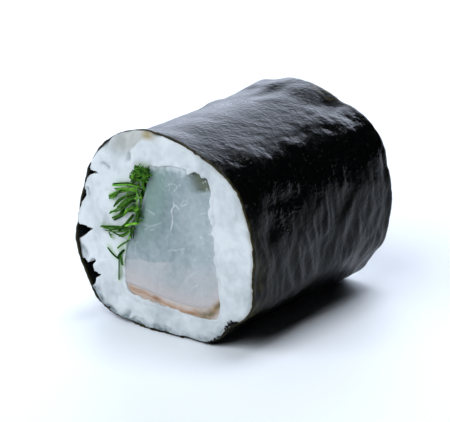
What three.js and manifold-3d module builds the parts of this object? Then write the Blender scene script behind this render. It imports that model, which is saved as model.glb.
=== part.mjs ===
// One piece of sea bream hosomaki: a strip of raw fish and a bundle of green herb shreds in sushi rice,
// rolled up in half a sheet of nori and cut through.
// Millimetres and degrees, +Z up. The roll lies on its side along Y, on its own flattened underside, and
// the shown cut faces -Y. The origin is on the surface below the middle of the roll.
import * as THREE from "three";
import { mergeVertices } from "three/addons/utils/BufferGeometryUtils.js";
import Module from "manifold-3d";

const { degToRad, radToDeg, lerp, smoothstep, euclideanModulo } = THREE.MathUtils;
const wasm = await Module();
wasm.setup();

// The roll: a 190 mm roll cut in six, with the rounded square section that a rolling mat presses.
const LENGTH = 31.4;
const WIDTH = 28.2;
const HEIGHT = 26.6;
const SAG = 0.3; // how far the underside would bulge below the surface if it were not flattened on it
const SQUARENESS = 2.2; // exponent of the superellipse
const PRESSES = [
  // angle in the section, bulge or dent, spread in degrees
  { at: -131, by: 1.3, spread: 15 },
  { at: -158, by: 0.6, spread: 14 },
  { at: -61, by: 0.85, spread: 16 },
  { at: -30, by: 1.05, spread: 12 },
  { at: 20, by: -0.6, spread: 17 },
  { at: 68, by: -0.95, spread: 24 },
  { at: 120, by: 0.1, spread: 14 },
  { at: 162, by: -0.6, spread: 15 },
];
const SWELLS = [
  // bulges and dents that change along the roll: the same, and the y where they begin and are full, and
  // where they fade and are gone if they don't last to the far cut
  { at: 122, by: -0.8, spread: 30, stretch: [-15.4, -11.9, 9.5, 13] }, // a waist between the flared cuts
  { at: 20, by: 0.6, spread: 18, stretch: [-10, 10] },
  { at: -31, by: -0.6, spread: 11, stretch: [-10, 12] },
  { at: -52, by: 0.5, spread: 9, stretch: [0, 12] },
  { at: 82, by: 0.35, spread: 12, stretch: [10, 14] }, // the far edge lifts at the top
  { at: 108, by: -0.35, spread: 9, stretch: [11, 14] },
];
const CLEARANCE = 0.3; // between neighbouring solids

// The nori sheet, damp from the rice, and the overlap that the roll lies on.
const NORI_THICK = 0.35;
const NORI_START = -140; // angle where the sheet's inner end lies
const NORI_LAP = 62; // degrees of overlap
const LAP_FADE = 28; // degrees over which the sheet climbs off its own inner end
const LAP_GAP = 0.12;
const RAGGED = 0.15; // how far the cut edge wanders along the roll
const RAGGED_REACH = 3; // how far back from the cut the sheet follows its edge
const NORI_STEPS = 84; // round the sheet
const NORI_ROWS = 12; // along the roll

// Rice grains press through the nori as long low bumps and hollows, which run mostly along the roll.
const BUMPS = { count: 120, height: [0.06, 0.29], long: [2.5, 4.2], wide: [1.2, 1.9], turn: 80, seed: 235 };
const RELIEF_DEPTH = [0.7, 0.93]; // share of the radius where the relief begins and is full
const RELIEF_Z = [0.3, 2.8]; // height over the flat underside where it begins and is full

// Rice grains, swollen by cooking.
const GRAIN = {
  long: 5.6,
  wide: 2.9,
  size: [0.88, 1.12], // share of that size
  sink: [0.8, 1.6], // depth of a grain's middle below the cut
  deep: [1.6, 10], // distance of its middle from the outside of the roll
  spacing: 2.7, // least distance between two middles
  toFilling: 1.0, // least distance of a middle from a filling
  turn: 65, // degrees either way off the line of the wrap
  tilt: 10, // degrees either way into the cut
  sides: 6,
  rings: 5,
  tries: 6000,
  seed: 41,
};
const RICE_RECESS = 1.1; // depth of the pressed rice below the cut
const RICE_STEPS = 80; // round the rice
const RICE_ROWS = 8; // along the roll
const GAPS = [
  // voids between the grains and the nori at the shown cut: angle, depth and width
  { at: 152, deep: 1.7, wide: 1.5 },
  { at: 168, deep: 1.1, wide: 1.3 },
  { at: 189, deep: 2.2, wide: 2.2 },
  { at: 208, deep: 1.7, wide: 2.0 },
  { at: 217, deep: 1.3, wide: 1.7 },
];
const GAP_LENGTH = 4;
const GAP_TAPER = 0.2; // share of a void's width that is left at its inner end

// The strip of fish: four corners of its section and the bows of its sides, as x and z.
const FISH = {
  bottomLeft: [-5.7, 4.0],
  bottomRight: [9.3, 3.6],
  topRight: [7.4, 22.6],
  topLeft: [-2.1, 22.3],
  bottomBow: [2.4, 2.9],
  rightBow: [8.2, 13.0],
  topBow: [3.0, 23.5],
  upperLeftBow: [-3.4, 14.5],
  lowerLeftBow: [-7.4, 10.0],
};
const FISH_RECESS = 0.7;
const FISH_EDGE = 0.5; // rounding of the strip's cut edges
const FISH_POINTS = 56; // round the strip
const FISH_EASING = 3; // passes that round its corners
const FISH_ROWS = 6; // along the roll
const SKIN_LINE = [
  // where the darker flesh of the skin side ends, from left to right
  [-7.5, 5.9],
  [-3.2, 5.5],
  [2.2, 4.5],
  [6.6, 4.8],
  [8.5, 6.2],
  [10.5, 8.6],
];
const SKIN_GAP = 0.2;
const SKIN_STEPS = 24;

// The herb: a thin bundle down the fish's left side, and the shreds that hang out of it at the cut.
const HERB = {
  topZ: 21.8,
  footZ: 7.2,
  topWide: 1.5,
  footWide: 0.7,
  swell: 0.2, // share of its width by which the bundle swells and narrows
  swells: 1.4, // how many times it does so from foot to top
  droop: 0.25, // share of its width by which its outer side hangs lower
  proud: 0.5, // how far its middle stands out of the cut
  steps: 9,
  rows: 4,
};
const SHRED = {
  wide: [0.56, 0.86],
  thick: 0.34,
  proud: [0.53, 0.8], // how far the middles of the shreds stand out of the cut
  lift: [0, 0.25], // how much further the outer end stands out than the inner end
  bends: 3,
  seed: 23,
};
const SHREDS = [
  // outer end, inner end and bow, in the section
  { from: [-7.9, 18.5], to: [-3.9, 19.2], bow: 0.15 },
  { from: [-8.6, 17.3], to: [-4.6, 18.5], bow: 0.3 },
  { from: [-8.4, 16.6], to: [-4.6, 17.9], bow: -0.2 },
  { from: [-7.7, 15.6], to: [-4.8, 17.8], bow: 0.3 },
  { from: [-8.5, 14.6], to: [-4.8, 17.2], bow: 0.2 },
  { from: [-8.3, 14.0], to: [-4.7, 15.8], bow: -0.3 },
  { from: [-9.8, 12.6], to: [-5.3, 13.2], bow: -0.2 },
  { from: [-7.4, 12.4], to: [-5.0, 14.7], bow: 0.3 },
  { from: [-7.1, 11.8], to: [-5.5, 12.4], bow: -0.3 },
  { from: [-8.3, 11.2], to: [-8.5, 12.8], bow: 0.1 },
  { from: [-7.6, 9.9], to: [-5.9, 11.5], bow: 0.2 },
  { from: [-9.1, 9.8], to: [-7.3, 8.3], bow: -0.1 },
  { from: [-7.5, 5.7], to: [-7.3, 8.7], bow: 0.1 },
  { from: [-7.5, 8.2], to: [-6.6, 10.1], bow: 0.1 },
  { from: [-5.3, 21.3], to: [-2.6, 22.0], bow: 0.4 },
  { from: [-5.5, 20.4], to: [-2.4, 21.3], bow: 0.5 },
  { from: [-5.3, 19.6], to: [-2.9, 20.6], bow: 0.4 },
  { from: [-4.9, 19.0], to: [-3.1, 22.1], bow: -0.3 },
  { from: [-4.9, 16.2], to: [-3.9, 19.8], bow: 0.2 },
  { from: [-5.4, 13.0], to: [-4.6, 16.6], bow: 0.2 },
  { from: [-6.2, 11.2], to: [-5.2, 13.6], bow: 0.2 },
];

const MIDDLE_Z = HEIGHT / 2;
const FRONT = -LENGTH / 2;
const BACK = LENGTH / 2;

// Small helpers

function seededRandom(seed) {
  let state = seed;
  return () => {
    state = (state * 1664525 + 1013904223) % 4294967296;
    return state / 4294967296;
  };
}

function between(random, [low, high]) {
  return lerp(low, high, random());
}

function angleBetween(a, b) {
  return euclideanModulo(a - b + 180, 360) - 180;
}

function bell(offset, spread) {
  return Math.exp(-((offset / spread) ** 2));
}

function flatPoint([x, z]) {
  return new THREE.Vector2(x, z);
}

function solidOf(geometry) {
  const bare = geometry.clone();
  bare.deleteAttribute("normal");
  bare.deleteAttribute("uv");
  const merged = mergeVertices(bare, 1e-4);
  return new wasm.Manifold(
    new wasm.Mesh({
      numProp: 3,
      vertProperties: merged.attributes.position.array,
      triVerts: new Uint32Array(merged.index.array),
    }),
  );
}

function geometryOf(solid) {
  const { vertProperties, triVerts } = solid.getMesh();
  return new THREE.BufferGeometry()
    .setAttribute("position", new THREE.BufferAttribute(vertProperties, 3))
    .setIndex(new THREE.BufferAttribute(triVerts, 1));
}

// A section in x and z, drawn out along Y.
function alongRoll(outline, from, to, steps, edge = 0) {
  const geometry = new THREE.ExtrudeGeometry(new THREE.Shape(outline), {
    depth: to - from - 2 * edge,
    steps,
    bevelEnabled: edge > 0,
    bevelThickness: edge,
    bevelSize: edge,
    bevelOffset: -edge,
    bevelSegments: 2,
  });
  return geometry.rotateX(Math.PI / 2).translate(0, to - edge, 0);
}

// Evenly spaced points of a closed outline, with its corners eased.
function easedOutline(shape, count, passes) {
  let points = shape.getSpacedPoints(count).slice(0, count);
  for (let pass = 0; pass < passes; pass++) {
    points = points.map((point, i) => {
      const before = points[(i + count - 1) % count];
      const after = points[(i + 1) % count];
      return before.clone().lerp(after, 0.5).lerp(point, 0.5);
    });
  }
  return points;
}

// A counter-clockwise outline moved outwards by a distance.
function outset(points, by) {
  const count = points.length;
  return points.map((point, i) => {
    const along = points[(i + 1) % count].clone().sub(points[(i + count - 1) % count]);
    along.normalize();
    return new THREE.Vector2(point.x + along.y * by, point.y - along.x * by);
  });
}

// Points all over the inside of an outline, at a spacing.
function fillPoints(outline, spacing) {
  const box = new THREE.Box2().setFromPoints(outline);
  const points = [...outline];
  for (let x = box.min.x; x < box.max.x; x += spacing) {
    for (let z = box.min.y; z < box.max.y; z += spacing) {
      const place = new THREE.Vector2(x, z);
      if (insideOutline(place, outline)) points.push(place);
    }
  }
  return points;
}

function insideOutline(place, outline) {
  return outline.reduce((inside, a, i) => {
    const b = outline[(i + 1) % outline.length];
    const crosses = a.y > place.y !== b.y > place.y;
    const at = a.x + ((place.y - a.y) * (b.x - a.x)) / (b.y - a.y);
    return crosses && place.x < at ? !inside : inside;
  }, false);
}

// The section of the roll

function rollRadius(angle) {
  const turn = degToRad(angle);
  const across = Math.abs((2 * Math.cos(turn)) / WIDTH) ** SQUARENESS;
  const upright = Math.abs(Math.sin(turn) / (MIDDLE_Z + SAG)) ** SQUARENESS;
  const plain = (across + upright) ** (-1 / SQUARENESS);
  return PRESSES.reduce((r, { at, by, spread }) => r + by * bell(angleBetween(angle, at), spread), plain);
}

// A point of the section that lies a distance inside the nori's outer face, flat along the underside.
function rollPoint(angle, inset) {
  const turn = degToRad(angle);
  const r = rollRadius(angle) - inset;
  return new THREE.Vector2(r * Math.cos(turn), Math.max(inset, MIDDLE_Z + r * Math.sin(turn)));
}

// How far the sheet lies inside the roll's outline, where its inner end is lapped by its outer end.
function lapDepth(angle) {
  const past = angle - NORI_START - NORI_LAP;
  return (NORI_THICK + LAP_GAP) * (1 - smoothstep(past, 0, LAP_FADE));
}

// The relief of the grains under the nori

function makeBumps() {
  const random = seededRandom(BUMPS.seed);
  return Array.from({ length: BUMPS.count }, () => ({
    angle: 360 * random(),
    y: between(random, [FRONT, BACK]),
    turn: degToRad(between(random, [-BUMPS.turn, BUMPS.turn])),
    long: between(random, BUMPS.long),
    wide: between(random, BUMPS.wide),
    height: between(random, BUMPS.height) * (random() < 0.5 ? -1 : 1),
  }));
}

const bumps = makeBumps();

// How far the swells and the bumps move the surface in or out.
function relief(angle, y) {
  const arc = degToRad(WIDTH / 2);
  let height = 0;
  for (const { at, by, spread, stretch } of SWELLS) {
    const [start, full, fades = Infinity, gone = Infinity] = stretch;
    const share = smoothstep(y, start, full) * (1 - smoothstep(y, fades, gone));
    height += by * share * bell(angleBetween(angle, at), spread);
  }
  for (const bump of bumps) {
    const around = angleBetween(angle, bump.angle) * arc;
    const along = y - bump.y;
    const u = along * Math.cos(bump.turn) + around * Math.sin(bump.turn);
    const v = around * Math.cos(bump.turn) - along * Math.sin(bump.turn);
    height += bump.height * bell(u, bump.long) * bell(v, bump.wide);
  }
  return height;
}

// Moves the outer part of a solid in or out with the relief, but not the flat underside.
function pressThrough(geometry) {
  const position = geometry.getAttribute("position");
  for (let i = 0; i < position.count; i++) {
    const x = position.getX(i);
    const z = position.getZ(i);
    const angle = radToDeg(Math.atan2(z - MIDDLE_Z, x));
    const r = Math.hypot(x, z - MIDDLE_Z);
    const share = smoothstep(r / rollRadius(angle), ...RELIEF_DEPTH) * smoothstep(z, ...RELIEF_Z);
    const moved = 1 + (share * relief(angle, position.getY(i))) / r;
    position.setX(i, x * moved);
    position.setZ(i, MIDDLE_Z + (z - MIDDLE_Z) * moved);
  }
  return geometry;
}

// Nori: a sheet that goes once round and laps its own inner end under the roll

// How far the cut edge wanders, inwards on the whole, at a turn in radians.
function wander(turn, y) {
  return RAGGED * (Math.sin(5 * turn + y) + 0.6 * Math.sin(11 * turn + 2) - 1.2);
}

function noriSheet() {
  const outer = [];
  const inner = [];
  for (let i = 0; i <= NORI_STEPS; i++) {
    const angle = NORI_START + ((360 + NORI_LAP) * i) / NORI_STEPS;
    const depth = lapDepth(angle);
    outer.push(rollPoint(angle, depth));
    inner.push(rollPoint(angle, depth + NORI_THICK));
  }
  const geometry = alongRoll([...outer, ...inner.reverse()], FRONT, BACK, NORI_ROWS);
  const position = geometry.getAttribute("position");
  for (let i = 0; i < position.count; i++) {
    const y = position.getY(i);
    const turn = Math.atan2(position.getZ(i) - MIDDLE_Z, position.getX(i));
    const share = smoothstep(Math.abs(y), BACK - RAGGED_REACH, BACK);
    position.setY(i, y + Math.sign(y) * share * wander(turn, y));
  }
  return pressThrough(geometry);
}

// Fillings

function fishOutline() {
  const shape = new THREE.Shape();
  shape.moveTo(...FISH.bottomLeft);
  shape.quadraticCurveTo(...FISH.bottomBow, ...FISH.bottomRight);
  shape.quadraticCurveTo(...FISH.rightBow, ...FISH.topRight);
  shape.quadraticCurveTo(...FISH.topBow, ...FISH.topLeft);
  shape.bezierCurveTo(...FISH.upperLeftBow, ...FISH.lowerLeftBow, ...FISH.bottomLeft);
  return easedOutline(shape, FISH_POINTS, FISH_EASING);
}

// The fish's left side at a height.
function fishLeftX(z) {
  const corners = [FISH.topLeft, FISH.upperLeftBow, FISH.lowerLeftBow, FISH.bottomLeft];
  const side = new THREE.CubicBezierCurve(...corners.map(flatPoint)).getPoints(FISH_POINTS);
  return side.reduce((near, p) => (Math.abs(p.y - z) < Math.abs(near.y - z) ? p : near)).x;
}

// Everything below the line where the skin side's darker flesh begins.
function skinSide(raised) {
  const line = new THREE.SplineCurve(SKIN_LINE.map(([x, z]) => new THREE.Vector2(x, z + raised)));
  const top = line.getPoints(SKIN_STEPS);
  const below = [top[0], top[SKIN_STEPS]].map(({ x }) => new THREE.Vector2(x, -HEIGHT));
  return solidOf(alongRoll([...below, ...top.reverse()], 2 * FRONT, 2 * BACK, 1));
}

function herbOutline() {
  const left = [];
  const right = [];
  for (let i = 0; i <= HERB.steps; i++) {
    const share = i / HERB.steps;
    const z = lerp(HERB.footZ, HERB.topZ, share);
    const wide = lerp(HERB.footWide, HERB.topWide, share);
    const x = fishLeftX(z) - 2 * CLEARANCE;
    const swell = 1 + HERB.swell * Math.sin(2 * Math.PI * HERB.swells * share);
    right.push(new THREE.Vector2(x, z));
    left.push(new THREE.Vector2(x - wide * swell, z - HERB.droop * wide));
  }
  return [...right, ...left.reverse()];
}

// A flat strip that bows a little and lies over the cut, with its outer end lifted off.
function shred({ from, to, bow }, y, lift, wide) {
  const start = flatPoint(from);
  const end = flatPoint(to);
  const length = start.distanceTo(end);
  const geometry = new THREE.BoxGeometry(length, SHRED.thick, wide, SHRED.bends, 1, 1);
  const position = geometry.getAttribute("position");
  for (let i = 0; i < position.count; i++) {
    const share = position.getX(i) / length;
    position.setZ(i, position.getZ(i) + bow * (1 - 4 * share ** 2));
    position.setY(i, position.getY(i) + lift * (0.5 - share));
  }
  const middle = start.clone().lerp(end, 0.5);
  geometry.rotateY(-end.clone().sub(start).angle()).translate(middle.x, y, middle.y);
  return solidOf(geometry);
}

function herbBundle(outline) {
  const random = seededRandom(SHRED.seed);
  let bundle = solidOf(alongRoll(outline, FRONT - HERB.proud, BACK + HERB.proud, HERB.rows));
  for (const side of [-1, 1]) {
    for (const each of SHREDS) {
      const y = side * (BACK + between(random, SHRED.proud));
      const lift = side * between(random, SHRED.lift);
      bundle = bundle.add(shred(each, y, lift, between(random, SHRED.wide)));
    }
  }
  return bundle;
}

// Rice: a pressed core with the grains of both cut ends fused on

function grain({ point, lie }, y, tilt, size) {
  const geometry = new THREE.SphereGeometry(0.5, GRAIN.sides, GRAIN.rings);
  geometry.scale(GRAIN.wide * size, GRAIN.long * size, GRAIN.wide * size);
  geometry.rotateZ(Math.PI / 2 + tilt).rotateY(-lie).translate(point.x, y, point.y);
  return solidOf(geometry);
}

// Places for grains, tried at random over the section and kept where no other lies too close. A grain
// lies mostly along the wrap.
function grainPlaces(random, fillings) {
  const taken = fillings.flatMap((outline) => fillPoints(outline, GRAIN.toFilling));
  const places = [];
  for (let attempt = 0; attempt < GRAIN.tries; attempt++) {
    const angle = 360 * random();
    const point = rollPoint(angle, between(random, GRAIN.deep));
    const lie = degToRad(angle + 90 + between(random, [-GRAIN.turn, GRAIN.turn]));
    const crowded = places.some((other) => other.point.distanceTo(point) < GRAIN.spacing);
    const inFilling = taken.some((other) => other.distanceTo(point) < GRAIN.toFilling);
    if (!crowded && !inFilling) places.push({ point, lie });
  }
  return places;
}

// The section that the rice may fill, inside the nori.
function riceOutline() {
  return Array.from({ length: RICE_STEPS }, (_, i) => {
    const angle = NORI_START + (360 * i) / RICE_STEPS;
    return rollPoint(angle, lapDepth(angle) + NORI_THICK + CLEARANCE);
  });
}

// A three-sided void that opens at the shown cut, with its flat side along the nori.
function gapWedge({ at, deep, wide }) {
  const rim = rollPoint(at, NORI_THICK);
  const geometry = new THREE.CylinderGeometry(1, GAP_TAPER, GAP_LENGTH, 3);
  const unit = new THREE.Box3().setFromBufferAttribute(geometry.getAttribute("position"));
  const { x, z } = unit.getSize(new THREE.Vector3());
  geometry.scale(wide / x, 1, deep / z).rotateX(Math.PI);
  geometry.rotateY(degToRad(90 - at)).translate(rim.x, FRONT + GAP_LENGTH / 2, rim.y);
  return solidOf(geometry);
}

function riceBody(fish, herb) {
  const outline = riceOutline();
  const fillings = [outset(fish, CLEARANCE), outset(herb, 2 * CLEARANCE)];
  const random = seededRandom(GRAIN.seed);
  let rice = solidOf(alongRoll(outline, FRONT + RICE_RECESS, BACK - RICE_RECESS, RICE_ROWS));
  for (const gap of GAPS) rice = rice.subtract(gapWedge(gap));
  for (const side of [-1, 1]) {
    for (const place of grainPlaces(random, fillings)) {
      const y = side * (BACK - between(random, GRAIN.sink));
      const tilt = degToRad(between(random, [-GRAIN.tilt, GRAIN.tilt]));
      rice = rice.add(grain(place, y, tilt, between(random, GRAIN.size)));
    }
  }
  rice = rice.intersect(solidOf(alongRoll(outline, FRONT, BACK, RICE_ROWS)));
  for (const filling of fillings) {
    rice = rice.subtract(solidOf(alongRoll(filling, 2 * FRONT, 2 * BACK, 1)));
  }
  return rice;
}

// Assembly

function finish(colour, roughness) {
  return new THREE.MeshStandardMaterial({ color: colour, roughness, metalness: 0, flatShading: true });
}

function piece(name, geometry, material) {
  const mesh = new THREE.Mesh(geometry, material);
  mesh.name = name;
  return mesh;
}

const fish = fishOutline();
const herb = herbOutline();
const strip = solidOf(alongRoll(fish, FRONT + FISH_RECESS, BACK - FISH_RECESS, FISH_ROWS, FISH_EDGE));

const roll = new THREE.Group();
roll.add(
  piece("nori_wrap", noriSheet(), finish(0x1b1f22, 0.5)),
  piece("sushi_rice", pressThrough(geometryOf(riceBody(fish, herb))), finish(0xd9e3e8, 0.55)),
  piece("bream_flesh", geometryOf(strip.subtract(skinSide(SKIN_GAP))), finish(0xa9b6b9, 0.3)),
  piece("bream_skin_side", geometryOf(strip.intersect(skinSide(0))), finish(0xb89a80, 0.35)),
  piece("herb_shreds", geometryOf(herbBundle(herb)), finish(0x2f5c22, 0.6)),
);

// Stands the roll on the surface, with its middle over the origin.
const box = new THREE.Box3().setFromObject(roll);
const middle = box.getCenter(new THREE.Vector3());
roll.position.set(-middle.x, -middle.y, -box.min.z);

export default roll;
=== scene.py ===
"""One piece of sea bream hosomaki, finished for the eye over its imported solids.

Shapes are worked out in millimetres in the section's own frame, with x to the right of the shown cut, y along
the roll away from it and z up, and are taken to metres when a piece is finished.
"""
import math
import random

import bmesh
import bpy
import numpy as np
from mathutils import Matrix, Vector, noise


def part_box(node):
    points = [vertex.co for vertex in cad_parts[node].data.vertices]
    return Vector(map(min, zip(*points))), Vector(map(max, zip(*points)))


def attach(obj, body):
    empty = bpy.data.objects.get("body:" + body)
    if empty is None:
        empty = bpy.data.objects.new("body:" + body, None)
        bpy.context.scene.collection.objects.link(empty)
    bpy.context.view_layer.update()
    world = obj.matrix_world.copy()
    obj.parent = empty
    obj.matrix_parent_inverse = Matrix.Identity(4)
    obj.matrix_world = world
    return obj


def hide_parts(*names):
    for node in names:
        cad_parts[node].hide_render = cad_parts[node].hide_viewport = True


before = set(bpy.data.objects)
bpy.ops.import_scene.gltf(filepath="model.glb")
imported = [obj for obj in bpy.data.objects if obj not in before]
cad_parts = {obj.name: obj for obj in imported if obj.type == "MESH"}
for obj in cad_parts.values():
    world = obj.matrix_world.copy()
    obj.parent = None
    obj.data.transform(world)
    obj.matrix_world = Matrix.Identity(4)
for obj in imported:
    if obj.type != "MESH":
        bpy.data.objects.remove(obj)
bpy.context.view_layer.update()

MM = 0.001

# The roll's section: a rounded square that a rolling mat presses, flattened where it lies
LENGTH = 31.4
WIDTH = 28.2
HEIGHT = 26.6
SAG = 0.3  # bulge below the surface that lying on it takes away
SQUARENESS = 2.2
PRESSES = [  # angle in the section, bulge or dent, spread in degrees
    (-131, 1.3, 15),
    (-158, 0.6, 14),
    (-61, 0.85, 16),
    (-30, 1.05, 12),
    (20, -0.6, 17),
    (68, -0.95, 24),
    (120, 0.1, 14),
    (162, -0.6, 15),
]
SWELLS = [  # the same, with the y where they begin and are full, and where they fade and are gone
    (122, -0.8, 30, (-15.4, -11.9, 9.5, 13)),
    (20, 0.6, 18, (-10, 10)),
    (-31, -0.6, 11, (-10, 12)),
    (-52, 0.5, 9, (0, 12)),
    (82, 0.35, 12, (10, 14)),
    (108, -0.35, 9, (11, 14)),
    (62, -0.35, 5, (11, 14)),
]
MIDDLE_Z = HEIGHT / 2
FRONT = -LENGTH / 2
BACK = LENGTH / 2
LOWEST = 0.05  # height that what lies inside the nori keeps

# Where the section's zero lies in the frame
FLESH_LEFT = -6.03  # lowest x of the flesh in the section
flesh_low, flesh_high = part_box("bream_flesh")
SECTION_ZERO = Vector((flesh_low.x - FLESH_LEFT * MM, (flesh_low.y + flesh_high.y) / 2, 0))

# The nori sheet and its overlap
NORI_THICK = 0.24
NORI_START = -140  # angle of the sheet's inner end
NORI_LAP = 62
LAP_FADE = 28
LAP_GAP = 0.12
NORI_AROUND = 372
NORI_ALONG = 112
RAGGED = 0.15  # height of the broad waves in its cut edges
RAGGED_WAVES = (5, 11)  # how many broad and fine ones go round
RAGGED_FINE, RAGGED_IN = 0.6, 1.2  # height of the fine ones and how far the edges lie inwards, as shares
RAGGED_REACH = 3.0
FRAY, FRAY_DRAWN, FRAY_SIZE = 0.1, 0.5, 0.6  # how far the edges fray, and how much more where drawn back
FRAY_REACH = 0.8  # how far back from the cut they do
DRAWN_BACK = [  # angle, and how far the sheet lies back from the shown cut there
    (95, 0.12),
    (104, 0.75),
    (125, 0.65),
    (133, 0.15),
    (150, 0.12),
    (220, 0.06),
    (228, 0.3),
    (275, 0.25),
    (300, 0.12),
]
AT_VOID = 3  # degrees beside a void over which it comes forward again
# Where the sheet is painted with olive light at its thin edges: along its cut edges, and in spots about an
# angle at the shown and the far cut.
# Spots are a size, and the noise where they begin and are full
THIN, THIN_REACH, THIN_SIZE = 0.35, 0.4, 0.8
LIT_NEAR, LIT_NEAR_AT, LIT_NEAR_REACH, LIT_NEAR_SPOTS = 0.3, (-25, 28), (0.5, 5.0), (1.4, -0.3, 0.5)
FAR_AT, FAR_REACH, FAR_SPOTS = (75, 8), (0.4, 2.2), (0.9, -0.2, 0.5)
WET_EDGE = [  # y and angle of the upper edge of the damp, darker band along the right shoulder
    (-15.7, 51),
    (-12.6, 57),
    (-11.0, 53),
    (-9.2, 42),
    (-6.4, 43),
    (-2.6, 51),
    (1.2, 47),
    (4.2, 52),
    (7.2, 48),
    (10.5, 53),
    (15.7, 45),
]
WET_LUMPS = [(10, 2.6), (7, 0.9)]  # how far that edge wanders in degrees, and over what size
WET_SOFT = (-1, 1.5)
WET_FOOT = (-38, -22)  # where the band begins and is full, below its edge
SCRAPS = [  # torn points of the sheet over the rice: angle, spread, number, longest
    (-42, 1.6, 20, 0.9),
    (-58, 3.5, 12, 0.4),
]
SCRAP_WIDE = (0.1, 0.35)
SCRAP_LONG = (0.3, 1.0)  # share of the longest
SCRAP_DEEP = (0.0, 0.15)  # depth below the cut
SCRAP_LIE = 55  # how far they turn from straight inwards, at most
SCRAP_SEED = 8

# Rice grains under the nori
BUMP_COUNT = 120
BUMP_HEIGHT = (0.06, 0.29)
BUMP_LONG = (2.5, 4.2)
BUMP_WIDE = (1.2, 1.9)
BUMP_TURN = 80
BUMP_SEED = 235
LUMP_HIGH, LUMP_SIZE = 0.15, 2.6  # of the small lumps of single grains
LUMP_GRIT = [(0.035, 1.0)]
WRINKLE_HIGH, WRINKLE_SIZE = 0.34, (4.5, 2.6, 4.5)
WRINKLES = [(0.12, (2.2, 0.9, 2.2)), (0.05, (1.3, 0.7, 1.3))]  # heights and sizes of the finer ones
FOLDED = 0.2  # what noise without its sign is on average
SIDE, TOP, SHOULDER = (-5, 50), (85, 35), (50, 14)  # angle and spread of these stretches of the sheet
GRAINS_SHOW = (-0.4, -0.7, 0.6)  # how much more the grains show on each
SHOULDER_LUMPS = [(0.05, 1.3)]
RELIEF_DEPTH = (0.7, 0.93)  # share of the radius where the relief begins and is full
RELIEF_Z = (0.3, 2.8)  # height where it begins and is full

# The rice
GRAIN_SIZE = (2.5, 5.0, 2.4)
GRAIN_LAYERS = [  # depth of a grain's middle below the cut, least distance between two
    ((0.7, 1.1), 2.0),
    ((1.5, 2.0), 2.1),
]
GRAIN_TRIES = 5000
GRAIN_ROOM = (0.6, 0.8)  # from its middle to the fillings and to the nori
GRAIN_LIE, GRAIN_TILT = 65, 20  # how far it turns in the cut and out of it, at most
GRAIN_VARIES = (0.9, 1.1)
GRAIN_BLUR = 1.1  # how far its tone spreads
RICE_RECESS = 1.0
RICE_GAP = 0.03  # room between rice and nori
RING_UNDER = 0.3  # how far the ring goes in past the fillings' edge
RIM_PRESS = 0.6  # how far the pressed rice goes past the nori's inner face before that holds it back
CAP_DEEP = 3.4
CORE_IN_CAP = 0.5  # how far the core goes into the rice of each cut
CAP_VOXEL = 0.195
RING_POINTS = 120
CORE_INSET = 1.0  # the pressed rice between the two cuts stays this far inside the nori
VOIDS = [  # outlines of the gaps between grains and nori at the shown cut
    [(-12.6, 20.1), (-11.6, 19.75), (-10.5, 19.65), (-11.5, 19.3), (-12.2, 18.9), (-12.8, 18.5)],
    [(-13.7, 17.0), (-12.95, 16.8), (-12.5, 16.1), (-13.1, 15.5), (-13.9, 15.1)],
    [(-14.7, 12.3), (-13.5, 12.15), (-12.5, 12.05), (-11.6, 11.85), (-12.5, 11.1), (-13.4, 10.3),
     (-14.7, 10.0)],
    [(-13.7, 7.4), (-12.4, 7.05), (-11.7, 7.6), (-11.1, 7.9), (-11.4, 7.2), (-11.6, 6.6), (-11.3, 6.0),
     (-10.3, 5.85), (-11.0, 5.45), (-11.1, 4.9), (-11.5, 4.2), (-12.8, 3.8)],
]
VOID_DEEP = 3.0
VOID_EDGE = (-0.08, 0.12)  # distance inside the outline where a void begins and is full
TORN, TORN_SIZE = 0.22, 0.8  # how far that outline wanders, and over what size
TONGUES = [  # angle, reach and spread in degrees of the lumps that lie over the fish's edge
    (65.5, 0.6, 2.4),
    (55.5, 0.55, 2.0),
    (39, 0.3, 2.2),
    (30, 0.5, 4.5),
    (23, 0.25, 1.8),
    (14, 0.3, 2.6),
    (-2, 0.2, 2.0),
    (-11, 0.3, 3.4),
]
# The right side of the hollow at the top left of the shown cut
HOLLOW = [(-5.4, 22.6), (-5.1, 23.3), (-4.5, 24.0), (-3.5, 25.0), (-1.9, 25.6), (-1.0, 25.9)]
HOLLOW_DEEP = 0.4
# the hollow's greyer tone is painted shade
HOLLOW_FLAT, HOLLOW_TAN, HOLLOW_SHADE = 0.7, 0.3, 0.25  # how much flatter, browner and greyer it is
HOLLOW_EDGE = (-0.1, 0.5)  # distance from that side where it begins and is full
HOLLOW_REACH = (2.0, 4.5)  # how far from that side the hollow ends
HOLLOW_FOOT = (22.2, 24.4)  # height where it begins and is full
CREASES = [  # creases in the rice at the shown cut: points, half width, depth
    ([(-5.5, 22.3), (-5.45, 23.0)], 0.3, 0.4),
    ([(-9.7, 21.1), (-8.8, 20.7)], 0.3, 0.4),
    ([(-12.3, 17.2), (-12.0, 16.5)], 0.25, 0.35),
    ([(-13.3, 8.9), (-12.6, 8.1)], 0.5, 0.3),
    ([(-9.3, 1.6), (-8.4, 1.4)], 0.45, 0.5),
    ([(-5.9, 1.2), (-5.6, 1.7)], 0.4, 0.4),
]
# the creases' greyer tone is painted shade
CREASE_SHADE = 0.5  # how much less white they are

# What changes round the rice at a cut: angle, amount and spread in degrees, some with an amount everywhere
OVER_FISH = [(-105, 0.25, 45), *TONGUES]  # how far rice lies over the fish's edge
CRUMBLY = ([(45, 0.7, 45), (-95, 0.9, 35)], 0.3)  # how much its inner edge crumbles
SCALLOPS = ([(175, -0.15, 30)], 0.1)  # how far that edge goes in past the outline of the fillings
SMEARED = ([(195, -0.1, 55)], 0.84)  # how far the knife smears it
RAISED_EDGE = [(-105, 0.14, 40)]  # how much more its inner edge stands up
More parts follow.
